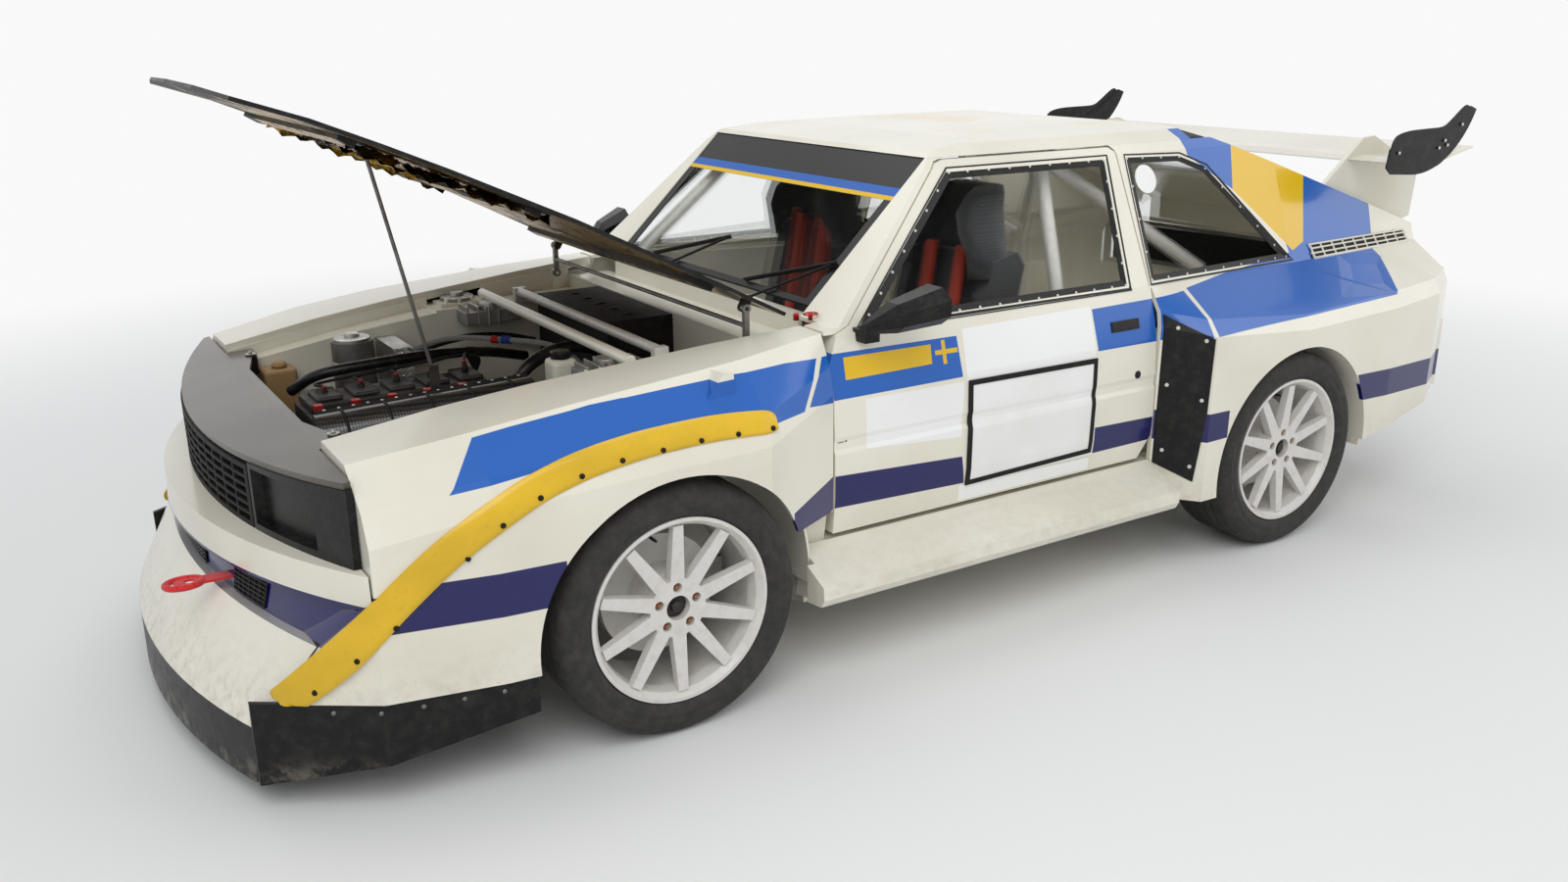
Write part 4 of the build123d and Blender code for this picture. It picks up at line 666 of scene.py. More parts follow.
def ribbon(kit, line, width, lift, side, across=5):
    """A raised band on the car's side, its middle along X, Z points."""
    rows = []
    for i, (x, z) in enumerate(line):
        ux, uz = crosswise(line[max(i - 1, 0)], line[min(i + 1, len(line) - 1)])
        offsets = [width * (k / (across - 1) - 0.5) for k in range(across)]
        hits = [on_side(x + ux * offset, z + uz * offset, side) for offset in offsets]
        low = [p - n * 0.002 for p, n in hits]
        rows.append([low[0]] + [p + n * lift for p, n in hits] + [low[-1]])
    kit.grid(rows)
    for row in (rows[0], rows[-1]):
        kit.bm.faces.new([kit.bm.verts.new(p) for p in row])


def stepped(outline, count):
    """Points along a closed outline; count gives their number for the length of a side."""
    marks = []
    for (xa, za), (xb, zb) in pairs(outline):
        steps = count(math.hypot(xb - xa, zb - za))
        marks += [(xa + (xb - xa) * i / steps, za + (zb - za) * i / steps) for i in range(steps)]
    return marks


# Distance between the points of a frame, so that it follows creases of the skin
RING_STEP = 0.012


def ring_band(kit, outline, inset, lift, side):
    """A raised frame along the inside of an outline of X, Z corners on the car's side."""
    ring = stepped(outline, lambda long: max(2, int(long / RING_STEP)))
    inner = inset_ring(outline, inset, ring)
    rows = []
    for (x, z), (xi, zi) in zip(ring + ring[:1], inner + inner[:1]):
        row = [on_side(x + (xi - x) * t, z + (zi - z) * t, side) for t in (0, 0.5, 1)]
        low = [p - n * 0.001 for p, n in row]
        rows.append([low[0]] + [p + n * lift for p, n in row] + [low[-1]])
    kit.grid(rows)


def inset_ring(outline, inset, ring):
    """The ring's points moved inwards by inset from the sides of a convex outline."""
    centre = (sum(p[0] for p in outline) / len(outline), sum(p[1] for p in outline) / len(outline))
    sides = []
    for a, b in pairs(outline):
        nx, nz = crosswise(a, b)
        if (centre[0] - a[0]) * nx + (centre[1] - a[1]) * nz < 0:
            nx, nz = -nx, -nz
        sides.append((*a, nx, nz))
    moved = []
    for x, z in ring:
        for xa, za, nx, nz in sides * 3:
            depth = (x - xa) * nx + (z - za) * nz
            if depth < inset:
                x += nx * (inset - depth)
                z += nz * (inset - depth)
        moved.append((x, z))
    return moved


def screws_along(kit, outline, inset, spacing, radius, side):
    """Screw heads in a row inside an outline on the car's side."""
    marks = stepped(outline, lambda long: max(1, round(long / spacing)))
    for x, z in inset_ring(outline, inset, marks):
        place, normal = on_side(x, z, side)
        kit.dome(place + normal * 0.0025, normal, radius)


# Middle of the bolted strip over the front arch: X, Z, width
STRIP = ((1.944, 0.272, 0.064), (1.920, 0.295, 0.068), (1.850, 0.362, 0.074), (1.768, 0.448, 0.074),
         (1.682, 0.528, 0.074), (1.590, 0.602, 0.072), (1.497, 0.658, 0.068), (1.398, 0.704, 0.062),
         (1.292, 0.733, 0.058), (1.180, 0.748, 0.054), (1.066, 0.755, 0.052), (0.955, 0.757, 0.052),
         (0.862, 0.753, 0.052), (0.802, 0.748, 0.050))
STRIP_BOLTS = ((0.818, 0.736), (0.913, 0.738), (1.009, 0.739), (1.107, 0.734), (1.208, 0.729),
               (1.306, 0.712), (1.403, 0.682), (1.489, 0.637), (1.566, 0.575), (1.643, 0.509),
               (1.721, 0.444), (1.801, 0.378), (1.882, 0.304))
# Glass of the side windows and the board for the number: X, Z
DOOR_WINDOW = ((0.470, 0.886), (0.062, 1.264), (-0.542, 1.264), (-0.524, 0.886))
QUARTER_WINDOW = ((-0.612, 0.890), (-0.612, 1.262), (-0.856, 1.254), (-0.970, 1.213), (-1.308, 0.892))
NUMBER_BOARD = ((0.120, 0.719), (-0.360, 0.714), (-0.352, 0.432), (0.124, 0.422))
# Outer face of the front wing: X, shoulder Y and Z, crease Y and Z, side Y
WING = (
    (1.995, 0.600, 0.708, 0.672, 0.600, 0.700), (1.757, 0.735, 0.770, 0.830, 0.690, 0.862),
    (1.500, 0.790, 0.812, 0.885, 0.735, 0.912), (1.280, 0.800, 0.841, 0.905, 0.752, 0.930),
    (0.830, 0.790, 0.877, 0.905, 0.765, 0.930), (0.567, 0.742, 0.896, 0.784, 0.820, 0.800),
)
# Lowest edge of the strip, and the height where the skin beside it still stands
STRIP_LOW_Z = 0.2695
SKIN_LOW_Z = 0.276
STRIP_LIFT = 0.003
STRIP_EDGE = 0.006


def wing_face(x, z, side):
    """A point on the wing's outer face at X, Z, just outside anything that stands further out."""
    a, b = ([row for row in zip(WING, WING[1:]) if row[1][0] <= x] or [(WING[-2], WING[-1])])[0]
    t = (a[0] - x) / (a[0] - b[0])
    shoulder_y, shoulder_z, crease_y, crease_z, side_y = [p + (q - p) * t for p, q in zip(a[1:], b[1:])]
    if z > crease_z:
        y = crease_y + (shoulder_y - crease_y) * (z - crease_z) / (shoulder_z - crease_z)
    else:
        y = side_y + (crease_y - side_y) * max(0.0, (z - crease_z + 0.07) / 0.07)
    place, _ = from_side(SIDE_TREE, x, max(z, SKIN_LOW_Z), side, 0.9)
    if place is not None:
        y = max(y, abs(place.y))
    return Vector((x, side * y, max(z, STRIP_LOW_Z)))


def arch_strip(label, side):
    """Yellow strip bolted over the joint of wing and nose, with its bolts."""
    line = smooth_path(STRIP, 5)
    rows = []
    for i, (x, z, width) in enumerate(line):
        ux, uz = crosswise(line[max(i - 1, 0)], line[min(i + 1, len(line) - 1)])
        ends = min(i, len(line) - 1 - i)
        width *= 1 if ends > 2 else (0.55, 0.8, 0.94)[ends]
        offsets = [width * t for t in (-0.5, -0.3, -0.1, 0.1, 0.3, 0.5)]
        rows.append([wing_face(x + ux * offset, z + uz * offset, side) for offset in offsets])
    close = [rows[max(i - 1, 0):i + 2] for i in range(len(rows))]
    far = [[max(abs(p.y) for p in column) for column in zip(*some)] for some in close]
    out = Vector((0, side, 0.12))
    kit = Kit()
    laid = []
    for i, row in enumerate(rows):
        near = far[max(i - 2, 0):i + 3]
        hits = [Vector((p.x, side * sum(ys) / len(near), p.z)) for p, ys in zip(row, zip(*near))]
        edges = [hits[0] - out * STRIP_EDGE, hits[-1] - out * STRIP_EDGE]
        laid.append(edges[:1] + [p + out * STRIP_LIFT for p in hits] + edges[1:])
    kit.grid(laid)
    tree = BVHTree.FromBMesh(kit.bm)
    kit.make("arch_strip_" + label, "strip", "root")
    bolts = Kit()
    for x, z in STRIP_BOLTS:
        place, normal = from_side(tree, x, z, side, 1.0)
        if place is not None:
            bolts.dome(place, (normal.x * 0.5, side, 0.2), 0.0065)
    bolts.make("arch_strip_bolts_" + label, "matt", "root")


def window_trim(label, side):
    """Black frames and white screws of the side windows, and the blank disc in the rear one."""
    for name, outline, body, band, inset, spacing, radius in (
        ("door_window", DOOR_WINDOW, "door_" + label, 0.030, 0.015, 0.072, 0.0042),
        ("quarter_window", QUARTER_WINDOW, "root", 0.026, 0.014, 0.085, 0.0038),
    ):
        kit = Kit()
        ring_band(kit, outline, band, 0.0022, side)
        kit.make(name + "_frame_" + label, "laminate", body)
        screws = Kit()
        screws_along(screws, outline, inset, spacing, radius, side)
        screws.make(name + "_screws_" + label, "screw", body)
    disc = Kit()
    place, normal = on_side(-0.690, 1.186, side)
    disc.dome(place + normal * 0.001, normal, 0.044, 0.0012, 32)
    disc.make("blank_disc_" + label, "board", "root", smooth=False)


def number_board(label, side):
    """Bare white board with a black frame on the door."""
    kit = Kit()
    (xa, za), (xb, zb), _, (_, low) = NUMBER_BOARD
    line = [(xa + (xb - xa) * i / 24, 0.5 * (za + low) + (zb - za) * 0.5 * i / 24) for i in range(25)]
    ribbon(kit, line, 0.292, 0.0030, side, 25)
    kit.make("number_board_" + label, "board", "door_" + label, smooth=False)
    kit = Kit()
    ring_band(kit, NUMBER_BOARD, 0.014, 0.0050, side)
    kit.make("number_board_frame_" + label, "matt", "door_" + label, smooth=False)


# X, Z of the screws in a stone guard
GUARD_SCREWS = ((-0.640, 0.775), (-0.690, 0.742), (-0.628, 0.600), (-0.692, 0.560), (-0.630, 0.395),
                (-0.682, 0.350))


def guard_screws(label, side):
    """Screws of the stone guard ahead of the rear wheel."""
    kit = Kit()
    for x, z in GUARD_SCREWS:
        place, normal = on_side(x, z, side)
        kit.dome(place, normal, 0.0062)
    kit.make("guard_screws_" + label, "screw", "root")


# Ribbed outlet on the rear quarter: X, Z
LOUVRE = ((-1.405, 0.934), (-1.990, 0.929), (-2.010, 0.884), (-1.425, 0.884))
LOUVRE_BARS = 9


def louvre(label, side):
    """White frame of the outlet with its bars, and a black strip behind them as painted shade of the
    openings.
    """
    kit = Kit()
    ring_band(kit, LOUVRE, 0.006, 0.006, side)
    for i in range(1, LOUVRE_BARS):
        x = LOUVRE[0][0] + (LOUVRE[1][0] - LOUVRE[0][0]) * i / LOUVRE_BARS
        kit.tube([off_side(x, 0.930, side, 0.003), off_side(x - 0.020, 0.888, side, 0.003)], 0.0036, 6)
    for top in (0.9175, 0.9020):
        line = [off_side(-1.41 - 0.0295 * i, top - 0.0001 * i, side, 0.0035) for i in range(21)]
        kit.tube(line, 0.0034, 6)
    kit.make("quarter_louvre_" + label, "white", "root")
    # Matt black strip laid on the skin between the bars: painted shade of the outlet's openings
    back = Kit()
    ribbon(back, [(-1.41 - 0.0295 * i, 0.908 - 0.0001 * i) for i in range(21)], 0.040, 0.0012, side, 3)
    back.make("quarter_louvre_painted_shade_" + label, "matt", "root", smooth=False)


# Outline of the mirror's pane in shares of its half width and half height
MIRROR_CORNERS = ((1, 0.45), (0.45, 1), (-0.45, 1), (-1, 0.45), (-1, -0.45), (-0.45, -1), (0.45, -1),
                  (1, -0.45))


def door_trim(label, side):
    """Flush handle, lock and the pane of the mirror."""
    kit = Kit()
    place, normal = on_side(-0.530, 0.640, side)
    kit.dome(place, normal, 0.012, 0.003, 20)
    ribbon(kit, [(-0.425 - 0.11 * i / 8, 0.792) for i in range(9)], 0.030, 0.004, side)
    kit.make("door_handle_" + label, "mould", "door_" + label, 0.001)
    pane = Kit()
    ring = [(0.3325, side * (0.892 + 0.059 * u), 0.970 + 0.038 * v) for u, v in MIRROR_CORNERS]
    pane.plate(ring[::side], 0.0015)
    pane.make("mirror_pane_" + label, "mirror", "door_" + label, smooth=False)


# Half of the tyre's section, from the rim over the ribbed wall to the tread: radius, Y
TYRE_WALL = ((0.2335, 0.0992), (0.2345, 0.1010), (0.2400, 0.1090), (0.2500, 0.1140), (0.2590, 0.1163),
             (0.2600, 0.1172), (0.2640, 0.1172), (0.2650, 0.1163), (0.2800, 0.1166), (0.2810, 0.1173),
             (0.2840, 0.1172), (0.2850, 0.1160), (0.2960, 0.1135), (0.3040, 0.1090), (0.3100, 0.1030),
             (0.3145, 0.0960), (0.3170, 0.0890), (0.3185, 0.0800))


def tyre_profile():
    """Section of the tyre with ribs and grooves: radius, Y."""
    half = list(TYRE_WALL)
    for groove in (0.054, 0.018):
        half += [(0.3198, groove + 0.0045), (0.3140, groove + 0.0035), (0.3140, groove - 0.0035),
                 (0.3198, groove - 0.0045)]
    return half + [(r, -y) for r, y in reversed(half)] + [(0.2165, -0.0915), (0.2165, 0.0915)]


def shoulder_cut(k, r, y):
    """Depth of the short cuts across the tread at turn k."""
    if r < 0.3165:
        return 0.0
    if abs(y) > 0.059 and k % 6 == 0:
        return 0.0045
    return 0.003 if abs(y) < 0.05 and k % 12 == 6 else 0.0


def turned(centre, radius, angle, y):
    """A point this far from a wheel's axle, at an angle from upright, Y off its middle."""
    return centre[0] + radius * math.sin(angle), centre[1] + y, centre[2] + radius * math.cos(angle)


def tread(corner, centre):
    """The tyre as a mesh turned about its axle."""
    kit = Kit()
    rows = []
    for k in range(216):
        a = 2 * math.pi * k / 216
        ring = [(r - shoulder_cut(k, r, y), y) for r, y in tyre_profile()]
        rows.append([turned(centre, r, a, y) for r, y in ring])
    kit.grid(rows + rows[:1], True)
    bmesh.ops.remove_doubles(kit.bm, verts=kit.bm.verts, dist=0.00001)
    return kit.make("tread_" + corner, "rubber", "wheel_" + corner)


def wheel(corner, axle_x, side):
    """Tyre with tread, wheel nuts, hub cap and valve of one wheel."""
    centre = (axle_x, side * WHEEL_Y, WHEEL_Z)
    body = "wheel_" + corner
    out = Vector((0, side, 0))
    new_tyre = tread(corner, centre)
    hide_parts("tyre_" + corner)
    nuts = Kit()
    for i in range(5):
        foot = turned(centre, 0.052, math.radians(72 * i) * side, side * 0.060)
        nuts.boss(foot, out, (0, 0.012, 0.014), (0.0088, 0.0088, 0.0070), 6)
        nuts.boss(foot, out, (0.010, 0.021), 0.0042, 8)
    nuts.make("wheel_nuts_" + corner, "copper", body, 0.0006)
    cap = Kit()
    cap.boss(centre, out, (0.054, 0.064, 0.067), (0.030, 0.030, 0.026), 28)
    cap.boss(centre, out, (0.066, 0.078, 0.080), (0.015, 0.015, 0.012), 6)
    cap.make("hub_cap_" + corner, "engine", body, 0.001)
    valve = Kit()
    foot = turned(centre, 0.200, math.radians(18), side * 0.075)
    valve.boss(foot, out, (0, 0.022, 0.030), (0.004, 0.004, 0.003), 8)
    valve.make("valve_" + corner, "matt", body)


def plenum_details():
    """Ribs, rail and bolts of the intake plenum."""
    ribs, bolts = Kit(), Kit()
    for i in range(15):
        t = (i + 0.5) / 15
        x, y, z = 1.150 + 0.53 * t, 0.2355 - 0.035 * t, 0.6955 - 0.025 * t
        bolts.dome((x, y - 0.024, z + 0.0655), (0, -0.3, 1), 0.0062)
        if i % 3 == 1:
            arc = [math.radians(a) for a in range(5, 125, 10)]
            ribs.tube([(x, y + 0.0652 * math.cos(a), z + 0.0652 * math.sin(a)) for a in arc], 0.0035, 8)
    ribs.tube([(1.145, 0.212, 0.7575), (1.685, 0.177, 0.7315)], 0.0075, 8)
    ribs.make("plenum_ribs", "matt", "root")
    bolts.make("plenum_bolts", "bright", "root")


def ignition():
    """Cover, plugs and leads on top of the engine."""
    covers, plugs, leads = Kit(), Kit(), Kit()
    covers.box((1.200, -0.070, 0.700), (1.670, 0.060, 0.724))
    for i in range(5):
        x = 1.24 + i * 0.094
        top = 0.765 - 0.004 * i
        covers.box((x - 0.034, -0.060, 0.722), (x + 0.034, 0.050, 0.736))
        plugs.boss((x, -0.005, top), UP, (-0.008, 0.003), 0.0065, 8)
        plugs.box((x + 0.030, 0.078, 0.712), (x + 0.052, 0.100, 0.730))
        route = [(x, -0.005, 0.730), (x, -0.005, top), (x - 0.02, -0.06, top), (1.20, -0.10, 0.757),
                 (1.17, -0.12, 0.70)]
        leads.tube(smooth_path(route, 6), 0.0042, 8)
        leads.tube([(x, -0.005, 0.728), (x, -0.005, top - 0.009)], [0.011, 0.008], 10)
    covers.make("cam_cover", "engine", "root", 0.006)
    plugs.make("red_plugs", "anodised_red", "root", 0.001)
    leads.make("plug_leads", "matt", "root")


def bay_containers():
    """Cap of the canister, reservoir and motor in the engine bay."""
    can = Kit()
    foot = (1.437, -0.400, 0)
    can.boss(foot, UP, (0.700, 0.706, 0.716), (0.0625, 0.0645, 0.0625), 36)
    can.boss(foot, UP, (0.774, 0.782, 0.785), (0.052, 0.052, 0.046), 36)
    can.boss(foot, UP, (0.784, 0.792, 0.795), (0.022, 0.022, 0.018), 16)
    can.make("canister_cap", "bright", "root", 0.001)
    jar = Kit()
    jar.box((1.020, 0.200, 0.700), (1.095, 0.275, 0.800))
    jar.make("fluid_reservoir", "milky", "root", 0.016)
    lid = Kit()
    lid.boss((1.058, 0.238, 0), UP, (0.799, 0.816, 0.819), (0.027, 0.027, 0.024), 24)
    lid.make("reservoir_lid", "mould", "root", 0.001)
    tan = Kit()
    tan.box((1.600, -0.475, 0.560), (1.690, -0.385, 0.715))
    tan.boss((1.640, -0.430, 0), UP, (0.712, 0.732), 0.022, 18)
    tan.make("tan_motor", "tan", "root", 0.012)


# Hoses of the engine bay: points of the route, radius
HOSES = (
    (((1.66, -0.20, 0.70), (1.60, -0.12, 0.755), (1.45, -0.10, 0.77), (1.28, -0.13, 0.765),
      (1.12, -0.18, 0.74), (0.98, -0.22, 0.70)), 0.015),
    (((1.55, 0.29, 0.640), (1.45, 0.325, 0.700), (1.30, 0.335, 0.735), (1.12, 0.320, 0.745),
      (0.96, 0.30, 0.730), (0.90, 0.25, 0.66)), 0.012),
    (((1.20, 0.36, 0.640), (1.08, 0.38, 0.735), (0.95, 0.36, 0.765), (0.86, 0.30, 0.73),
      (0.83, 0.24, 0.66)), 0.009),
    (((1.15, 0.10, 0.66), (1.12, 0.12, 0.745), (1.02, 0.10, 0.785), (0.90, 0.06, 0.772),
      (0.84, 0.04, 0.72)), 0.018),
    (((1.37, -0.40, 0.60), (1.28, -0.39, 0.70), (1.15, -0.36, 0.745), (1.00, -0.38, 0.735),
      (0.88, -0.40, 0.70)), 0.010),
    (((1.68, 0.30, 0.60), (1.66, 0.34, 0.68), (1.58, 0.40, 0.715), (1.45, 0.43, 0.70),
      (1.32, 0.44, 0.64)), 0.020),
)
BRAIDED_LINES = (
    ((1.50, 0.28, 0.70), (1.40, 0.36, 0.745), (1.25, 0.40, 0.742), (1.12, 0.42, 0.70)),
    ((1.30, -0.30, 0.742), (1.20, -0.25, 0.775), (1.08, -0.12, 0.782), (0.98, 0.02, 0.775),
     (0.93, 0.12, 0.72)),
)
# Fittings on the lines: colour, half length, radius, place and direction of each
FITTINGS = (
    ("blue", 0.014, 0.0125, (((1.262, 0.397, 0.743), (1, 0, 0)), ((1.075, -0.115, 0.782), (1, -1, 0)),
                             ((1.39, 0.365, 0.744), (1, 0, 0)))),
    ("red", 0.010, 0.0115, (((1.236, 0.403, 0.741), (1, 0, 0)), ((1.10, -0.14, 0.781), (1, -1, 0)))),
)


def bay_lines():
    """Hoses, braided lines and their fittings in the engine bay."""
    hoses, braid = Kit(), Kit()
    for route, radius in HOSES:
        hoses.tube(smooth_path(route, 7), radius, 14)
    hoses.make("bay_hoses", "mould", "root")
    for route in BRAIDED_LINES:
        braid.tube(smooth_path(route, 7), 0.0078, 12)
    braid.make("braided_lines", "braid", "root")
    for tint, half, radius, spots in FITTINGS:
        kit = Kit()
        for place, way in spots:
            kit.boss(place, Vector(way).normalized(), (-half, half), radius, 6)
        kit.make(tint + "_fittings", "anodised_" + tint, "root", 0.0008)


def bay_structure():
    """Ribs of the air box, rear brace, castings and bearings of the strut towers."""
    runners = Kit()
    for i in range(5):
        y = -0.33 + i * 0.092
        runners.tube([(0.700, y, 0.822), (0.760, y, 0.830), (0.835, y, 0.824)], [0.016, 0.020, 0.016], 16)
    runners.make("air_box_runners", "laminate", "root", 0.001)
    brace, castings = Kit(), Kit()
    brace.tube([(0.888, -0.470, 0.842), (0.884, 0.470, 0.842)], 0.014, 20)
    for side in (-1, 1):
        brace.box((0.866, side * 0.4925, 0.8065), (0.906, side * 0.466, 0.855))
        for k in range(6):
            x = 0.932 + k * 0.030
            inner_y = 0.372 + 0.010 * abs(k - 2.5)
            castings.box((x, side * 0.478, 0.770), (x + 0.007, side * inner_y, 0.829))
        castings.box((0.920, side * 0.480, 0.772), (1.095, side * 0.388, 0.812))
        castings.boss((1.010, side * 0.424, 0), UP, (0.800, 0.834), (0.036, 0.031), 24)
    brace.make("rear_brace", "cage", "root", 0.002)
    castings.make("tower_castings", "cast", "root", 0.003)
    for label, side in SIDES:
        tower = Kit()
        centre = Vector((FRONT_X, side * 0.572, 0.822))
        tower.boss(centre, UP, (0, 0.010, 0.012), (0.052, 0.052, 0.048), 36)
        tower.boss(centre, UP, (0.010, 0.024), (0.024, 0.020), 24)
        for i in range(9):
            a = 2 * math.pi * i / 9
            tower.dome(centre + Vector((math.cos(a) * 0.041, math.sin(a) * 0.041, 0.012)), UP, 0.0055)
        tower.make("tower_bearing_" + label, "cast", "root", 0.0008)


def two_tone_nodes():
    """Second finishes: under the bonnet, rear wing's ends, black as painted shade on the wing outlet's
    opening, boxes and duct of the engine bay.
    """
    top = Vector((-math.sin(BONNET_TILT), 0, math.cos(BONNET_TILT)))
    touch_up("bonnet", "laminate", lambda p, n: abs(n.dot(top)) <= 0.7)
    touch_up("bonnet", "foil", lambda p, n: n.dot(top) < -0.7)
    touch_up("rear_wing", "mould", lambda p, n: abs(p.y) > 0.8001)
    # Black laminate on the faces of the front wings' outlet opening: painted shade of the opening
    touch_up("front_wings", "laminate",
             lambda p, n: 0.872 < p.x < 0.898 and p.z > 0.779 and abs(p.y) < 0.853)
    touch_up("bay_boxes", "steel", lambda p, n: 1.37 < p.x < 1.50)
    touch_up("bay_boxes", "quilt", lambda p, n: 1.29 < p.x < 1.36)
    touch_up("intake_plenum", "duct", lambda p, n: p.y > 0.279)


def slam_details():
    """Rivets and bonnet pins on the dark panel behind the grille."""
    rivets, pins, rings = Kit(), Kit(), Kit()
    for i in range(15):
        y = -0.70 + i * 0.10
        x = 1.925 - 0.17 * (abs(y) / 0.8) ** 2
        rivets.dome((x - 0.03, y, 0.728 + (1.925 - x) * 0.16), (0.15, 0, 1), 0.0042)
    rivets.make("slam_rivets", "engine", "root")
    for side in (-1, 1):
        foot = (1.708, side * 0.455, 0)
        pins.boss(foot, UP, (0.700, 0.752, 0.757), (0.017, 0.017, 0.012), 20)
        rings.boss(foot, UP, (0.756, 0.760), 0.014, 20)
        rings.boss(foot, UP, (0.759, 0.768), 0.005, 12)
    pins.make("bonnet_pin_posts", "matt", "root", 0.001)
    rings.make("bonnet_pins", "bright", "root")


def inlet_mesh(shade_panes, bars, y0, y1):
    """Black back sheet as painted shade inside one air inlet, and its crossing bars, between two Y."""
    spread = [y0 + (y1 - y0) * k / 8 for k in range(9)]
    shade_panes.grid([[on_nose(y, 0.404 + 0.0105 * j, 0.0015) for j in range(8)] for y in spread])
    spread = [y0 + (y1 - y0) * k / 10 for k in range(11)]
    for j in range(7):
        bars.tube([on_nose(y, 0.408 + 0.0105 * j, 0.0035) for y in spread], 0.0022, 6)
    count = round((y1 - y0) / 0.024)
    for k in range(count + 1):
        y = y0 + (y1 - y0) * k / count
        bars.tube([on_nose(y, z, 0.0035) for z in (0.406, 0.440, 0.474)], 0.0018, 6)


def nose_details():
    """Mesh of the three air inlets with black backs as painted shade, closing pieces at the nose corners,
    and the ring of the tow loop.
    """
    shade_panes, bars, ring = Kit(), Kit(), Kit()
    for y0, y1 in ((-0.530, -0.380), (-0.180, 0.180), (0.380, 0.530)):
        inlet_mesh(shade_panes, bars, y0, y1)
    # Matt black sheets just off the nose behind the bars: painted shade of the inlet openings
    shade_panes.make("inlet_painted_shade", "matt", "root", smooth=False)
    for label, side in SIDES:
        corner = Kit()
        rows = []
        for k in range(8):
            z = 0.403 + 0.011 * k
            seam = 1.857 - (z - 0.403) * 1.03
            inner, _ = from_side(NOSE_TREE, seam + 0.012, z, side)
            outer = wing_face(seam - 0.006, z, side)
            middle = inner.lerp(outer, 0.5) + Vector((0.004, 0, 0))
            rows.append([inner, middle, outer - Vector((0, side * 0.002, 0))])
        corner.grid(rows)
        corner.make("nose_corner_" + label, "paint", "root")
    ring.tube(level_ring(2.052, 0.345, 0.431, 0.040, 0.030, 28), 0.0075, 10)
    ring.make("tow_ring", "strap", "root")
    bars.make("inlet_mesh", "mould", "root")


# Bolts of the black lip: first X, spacing, how far below the lip's top edge
SKIRT_BOLT_X = 1.850
SKIRT_BOLT_STEP = 0.085
SKIRT_BOLT_DROP = 0.018


def skirt_bolts(label, side):
    """Bolts along the top edge of the black lip beside the front wheel."""
    tree = tree_of("front_splitter")
    kit = Kit()
    heights = [0.330 - 0.004 * k for k in range(40)]
    for i in range(7):
        x = SKIRT_BOLT_X - SKIRT_BOLT_STEP * i
        struck = [z for z in heights if from_side(tree, x, z, side, 0.8)[0] is not None]
        place, _ = from_side(tree, x, struck[0] - SKIRT_BOLT_DROP, side, 0.8) if struck else (None, None)
        if place is not None:
            kit.dome(place, (0, side, 0), 0.0058)
    kit.make("skirt_bolts_" + label, "steel", "root")


# The rear plate: half width, lower and upper edge
PLATE_HALF = 0.260
PLATE_Z = (0.655, 0.765)


def rear_details():
    """Blank plate with its screws, and lamp dividers."""
    tree = tree_of("tail_panel", "rear_bumper", "boot_lid")
    places = [from_behind(tree, y, z) for y in (-0.24, 0.0, 0.24) for z in (0.662, 0.710, 0.758)]
    back = min(place.x for place in places if place is not None)
    plate, screws, bars = Kit(), Kit(), Kit()
    plate.box((back - 0.004, -PLATE_HALF, PLATE_Z[0]), (back + 0.002, PLATE_HALF, PLATE_Z[1]))
    plate.make("blank_plate", "board", "root", 0.001)
    for y in (-0.235, 0.235):
        for z in (0.668, 0.752):
            screws.dome((back - 0.0042, y, z), (-1, 0, 0), 0.0048)
    screws.make("plate_screws", "steel", "root")
    lamps = tree_of("tail_lamps")
    for side in (-1, 1):
        lines = [([(y, z) for z in (0.646, 0.710, 0.774)], 0.0005, 0.0035) for y in (0.387, 0.500, 0.613)]
        lines.append(([(y, 0.710) for y in (0.306, 0.45, 0.60, 0.734)], 0.0003, 0.0028))
        for line, lift, radius in lines:
            ends = [from_behind(lamps, side * y, z) for y, z in line]
            bars.tube([p - Vector((lift, 0, 0)) for p in ends if p is not None], radius, 8)
    bars.make("lamp_dividers", "mould", "root")


# Black plates on the ends of the rear wing: X, Z
WING_END = ((-1.622, 1.215), (-1.628, 1.250), (-1.650, 1.277), (-1.714, 1.290), (-1.817, 1.293),
            (-1.900, 1.296), (-1.945, 1.318), (-1.985, 1.345), (-2.022, 1.362), (-2.048, 1.335),
            (-2.020, 1.285), (-1.980, 1.230), (-1.930, 1.186), (-1.880, 1.164), (-1.810, 1.157),
            (-1.724, 1.160), (-1.658, 1.176))
WING_END_SCREWS = ((-1.663, 1.222), (-1.883, 1.227), (-1.929, 1.234), (-1.912, 1.250), (-1.999, 1.299))
# Face of the rear wing's end, and thickness of the black plate on it
WING_END_Y = 0.8066
WING_END_THICK = 0.004


def wing_ends(label, side):
    """Black laminate plate and its screws on one end of the rear wing."""
    kit, screws = Kit(), Kit()
    ring = smooth_path(WING_END + WING_END[:1], 3)[:-1]
    kit.plate([(x, side * WING_END_Y, z) for x, z in ring][::side], WING_END_THICK)
    kit.make("wing_end_" + label, "mould", "boot_lid", smooth=False)
    for x, z in WING_END_SCREWS:
        screws.dome((x, side * 0.811, z), (0, side, 0), 0.0055)
    screws.make("wing_end_screws_" + label, "screw", "boot_lid")


# Middle of the left seat
SEAT_Y = 0.360
# Head and shoulders of a seat: Z, half width, how far its wings stand forward
SEAT_HEAD = ((0.930, 0.205, 0.10), (1.000, 0.205, 0.12), (1.060, 0.190, 0.15), (1.120, 0.165, 0.15),
             (1.165, 0.150, 0.11), (1.185, 0.125, 0.06))
# Front of the backrest from the shoulders down: X, Z
HARNESS = ((-0.158, 1.010), (-0.146, 0.930), (-0.120, 0.780), (-0.090, 0.620), (-0.030, 0.420))


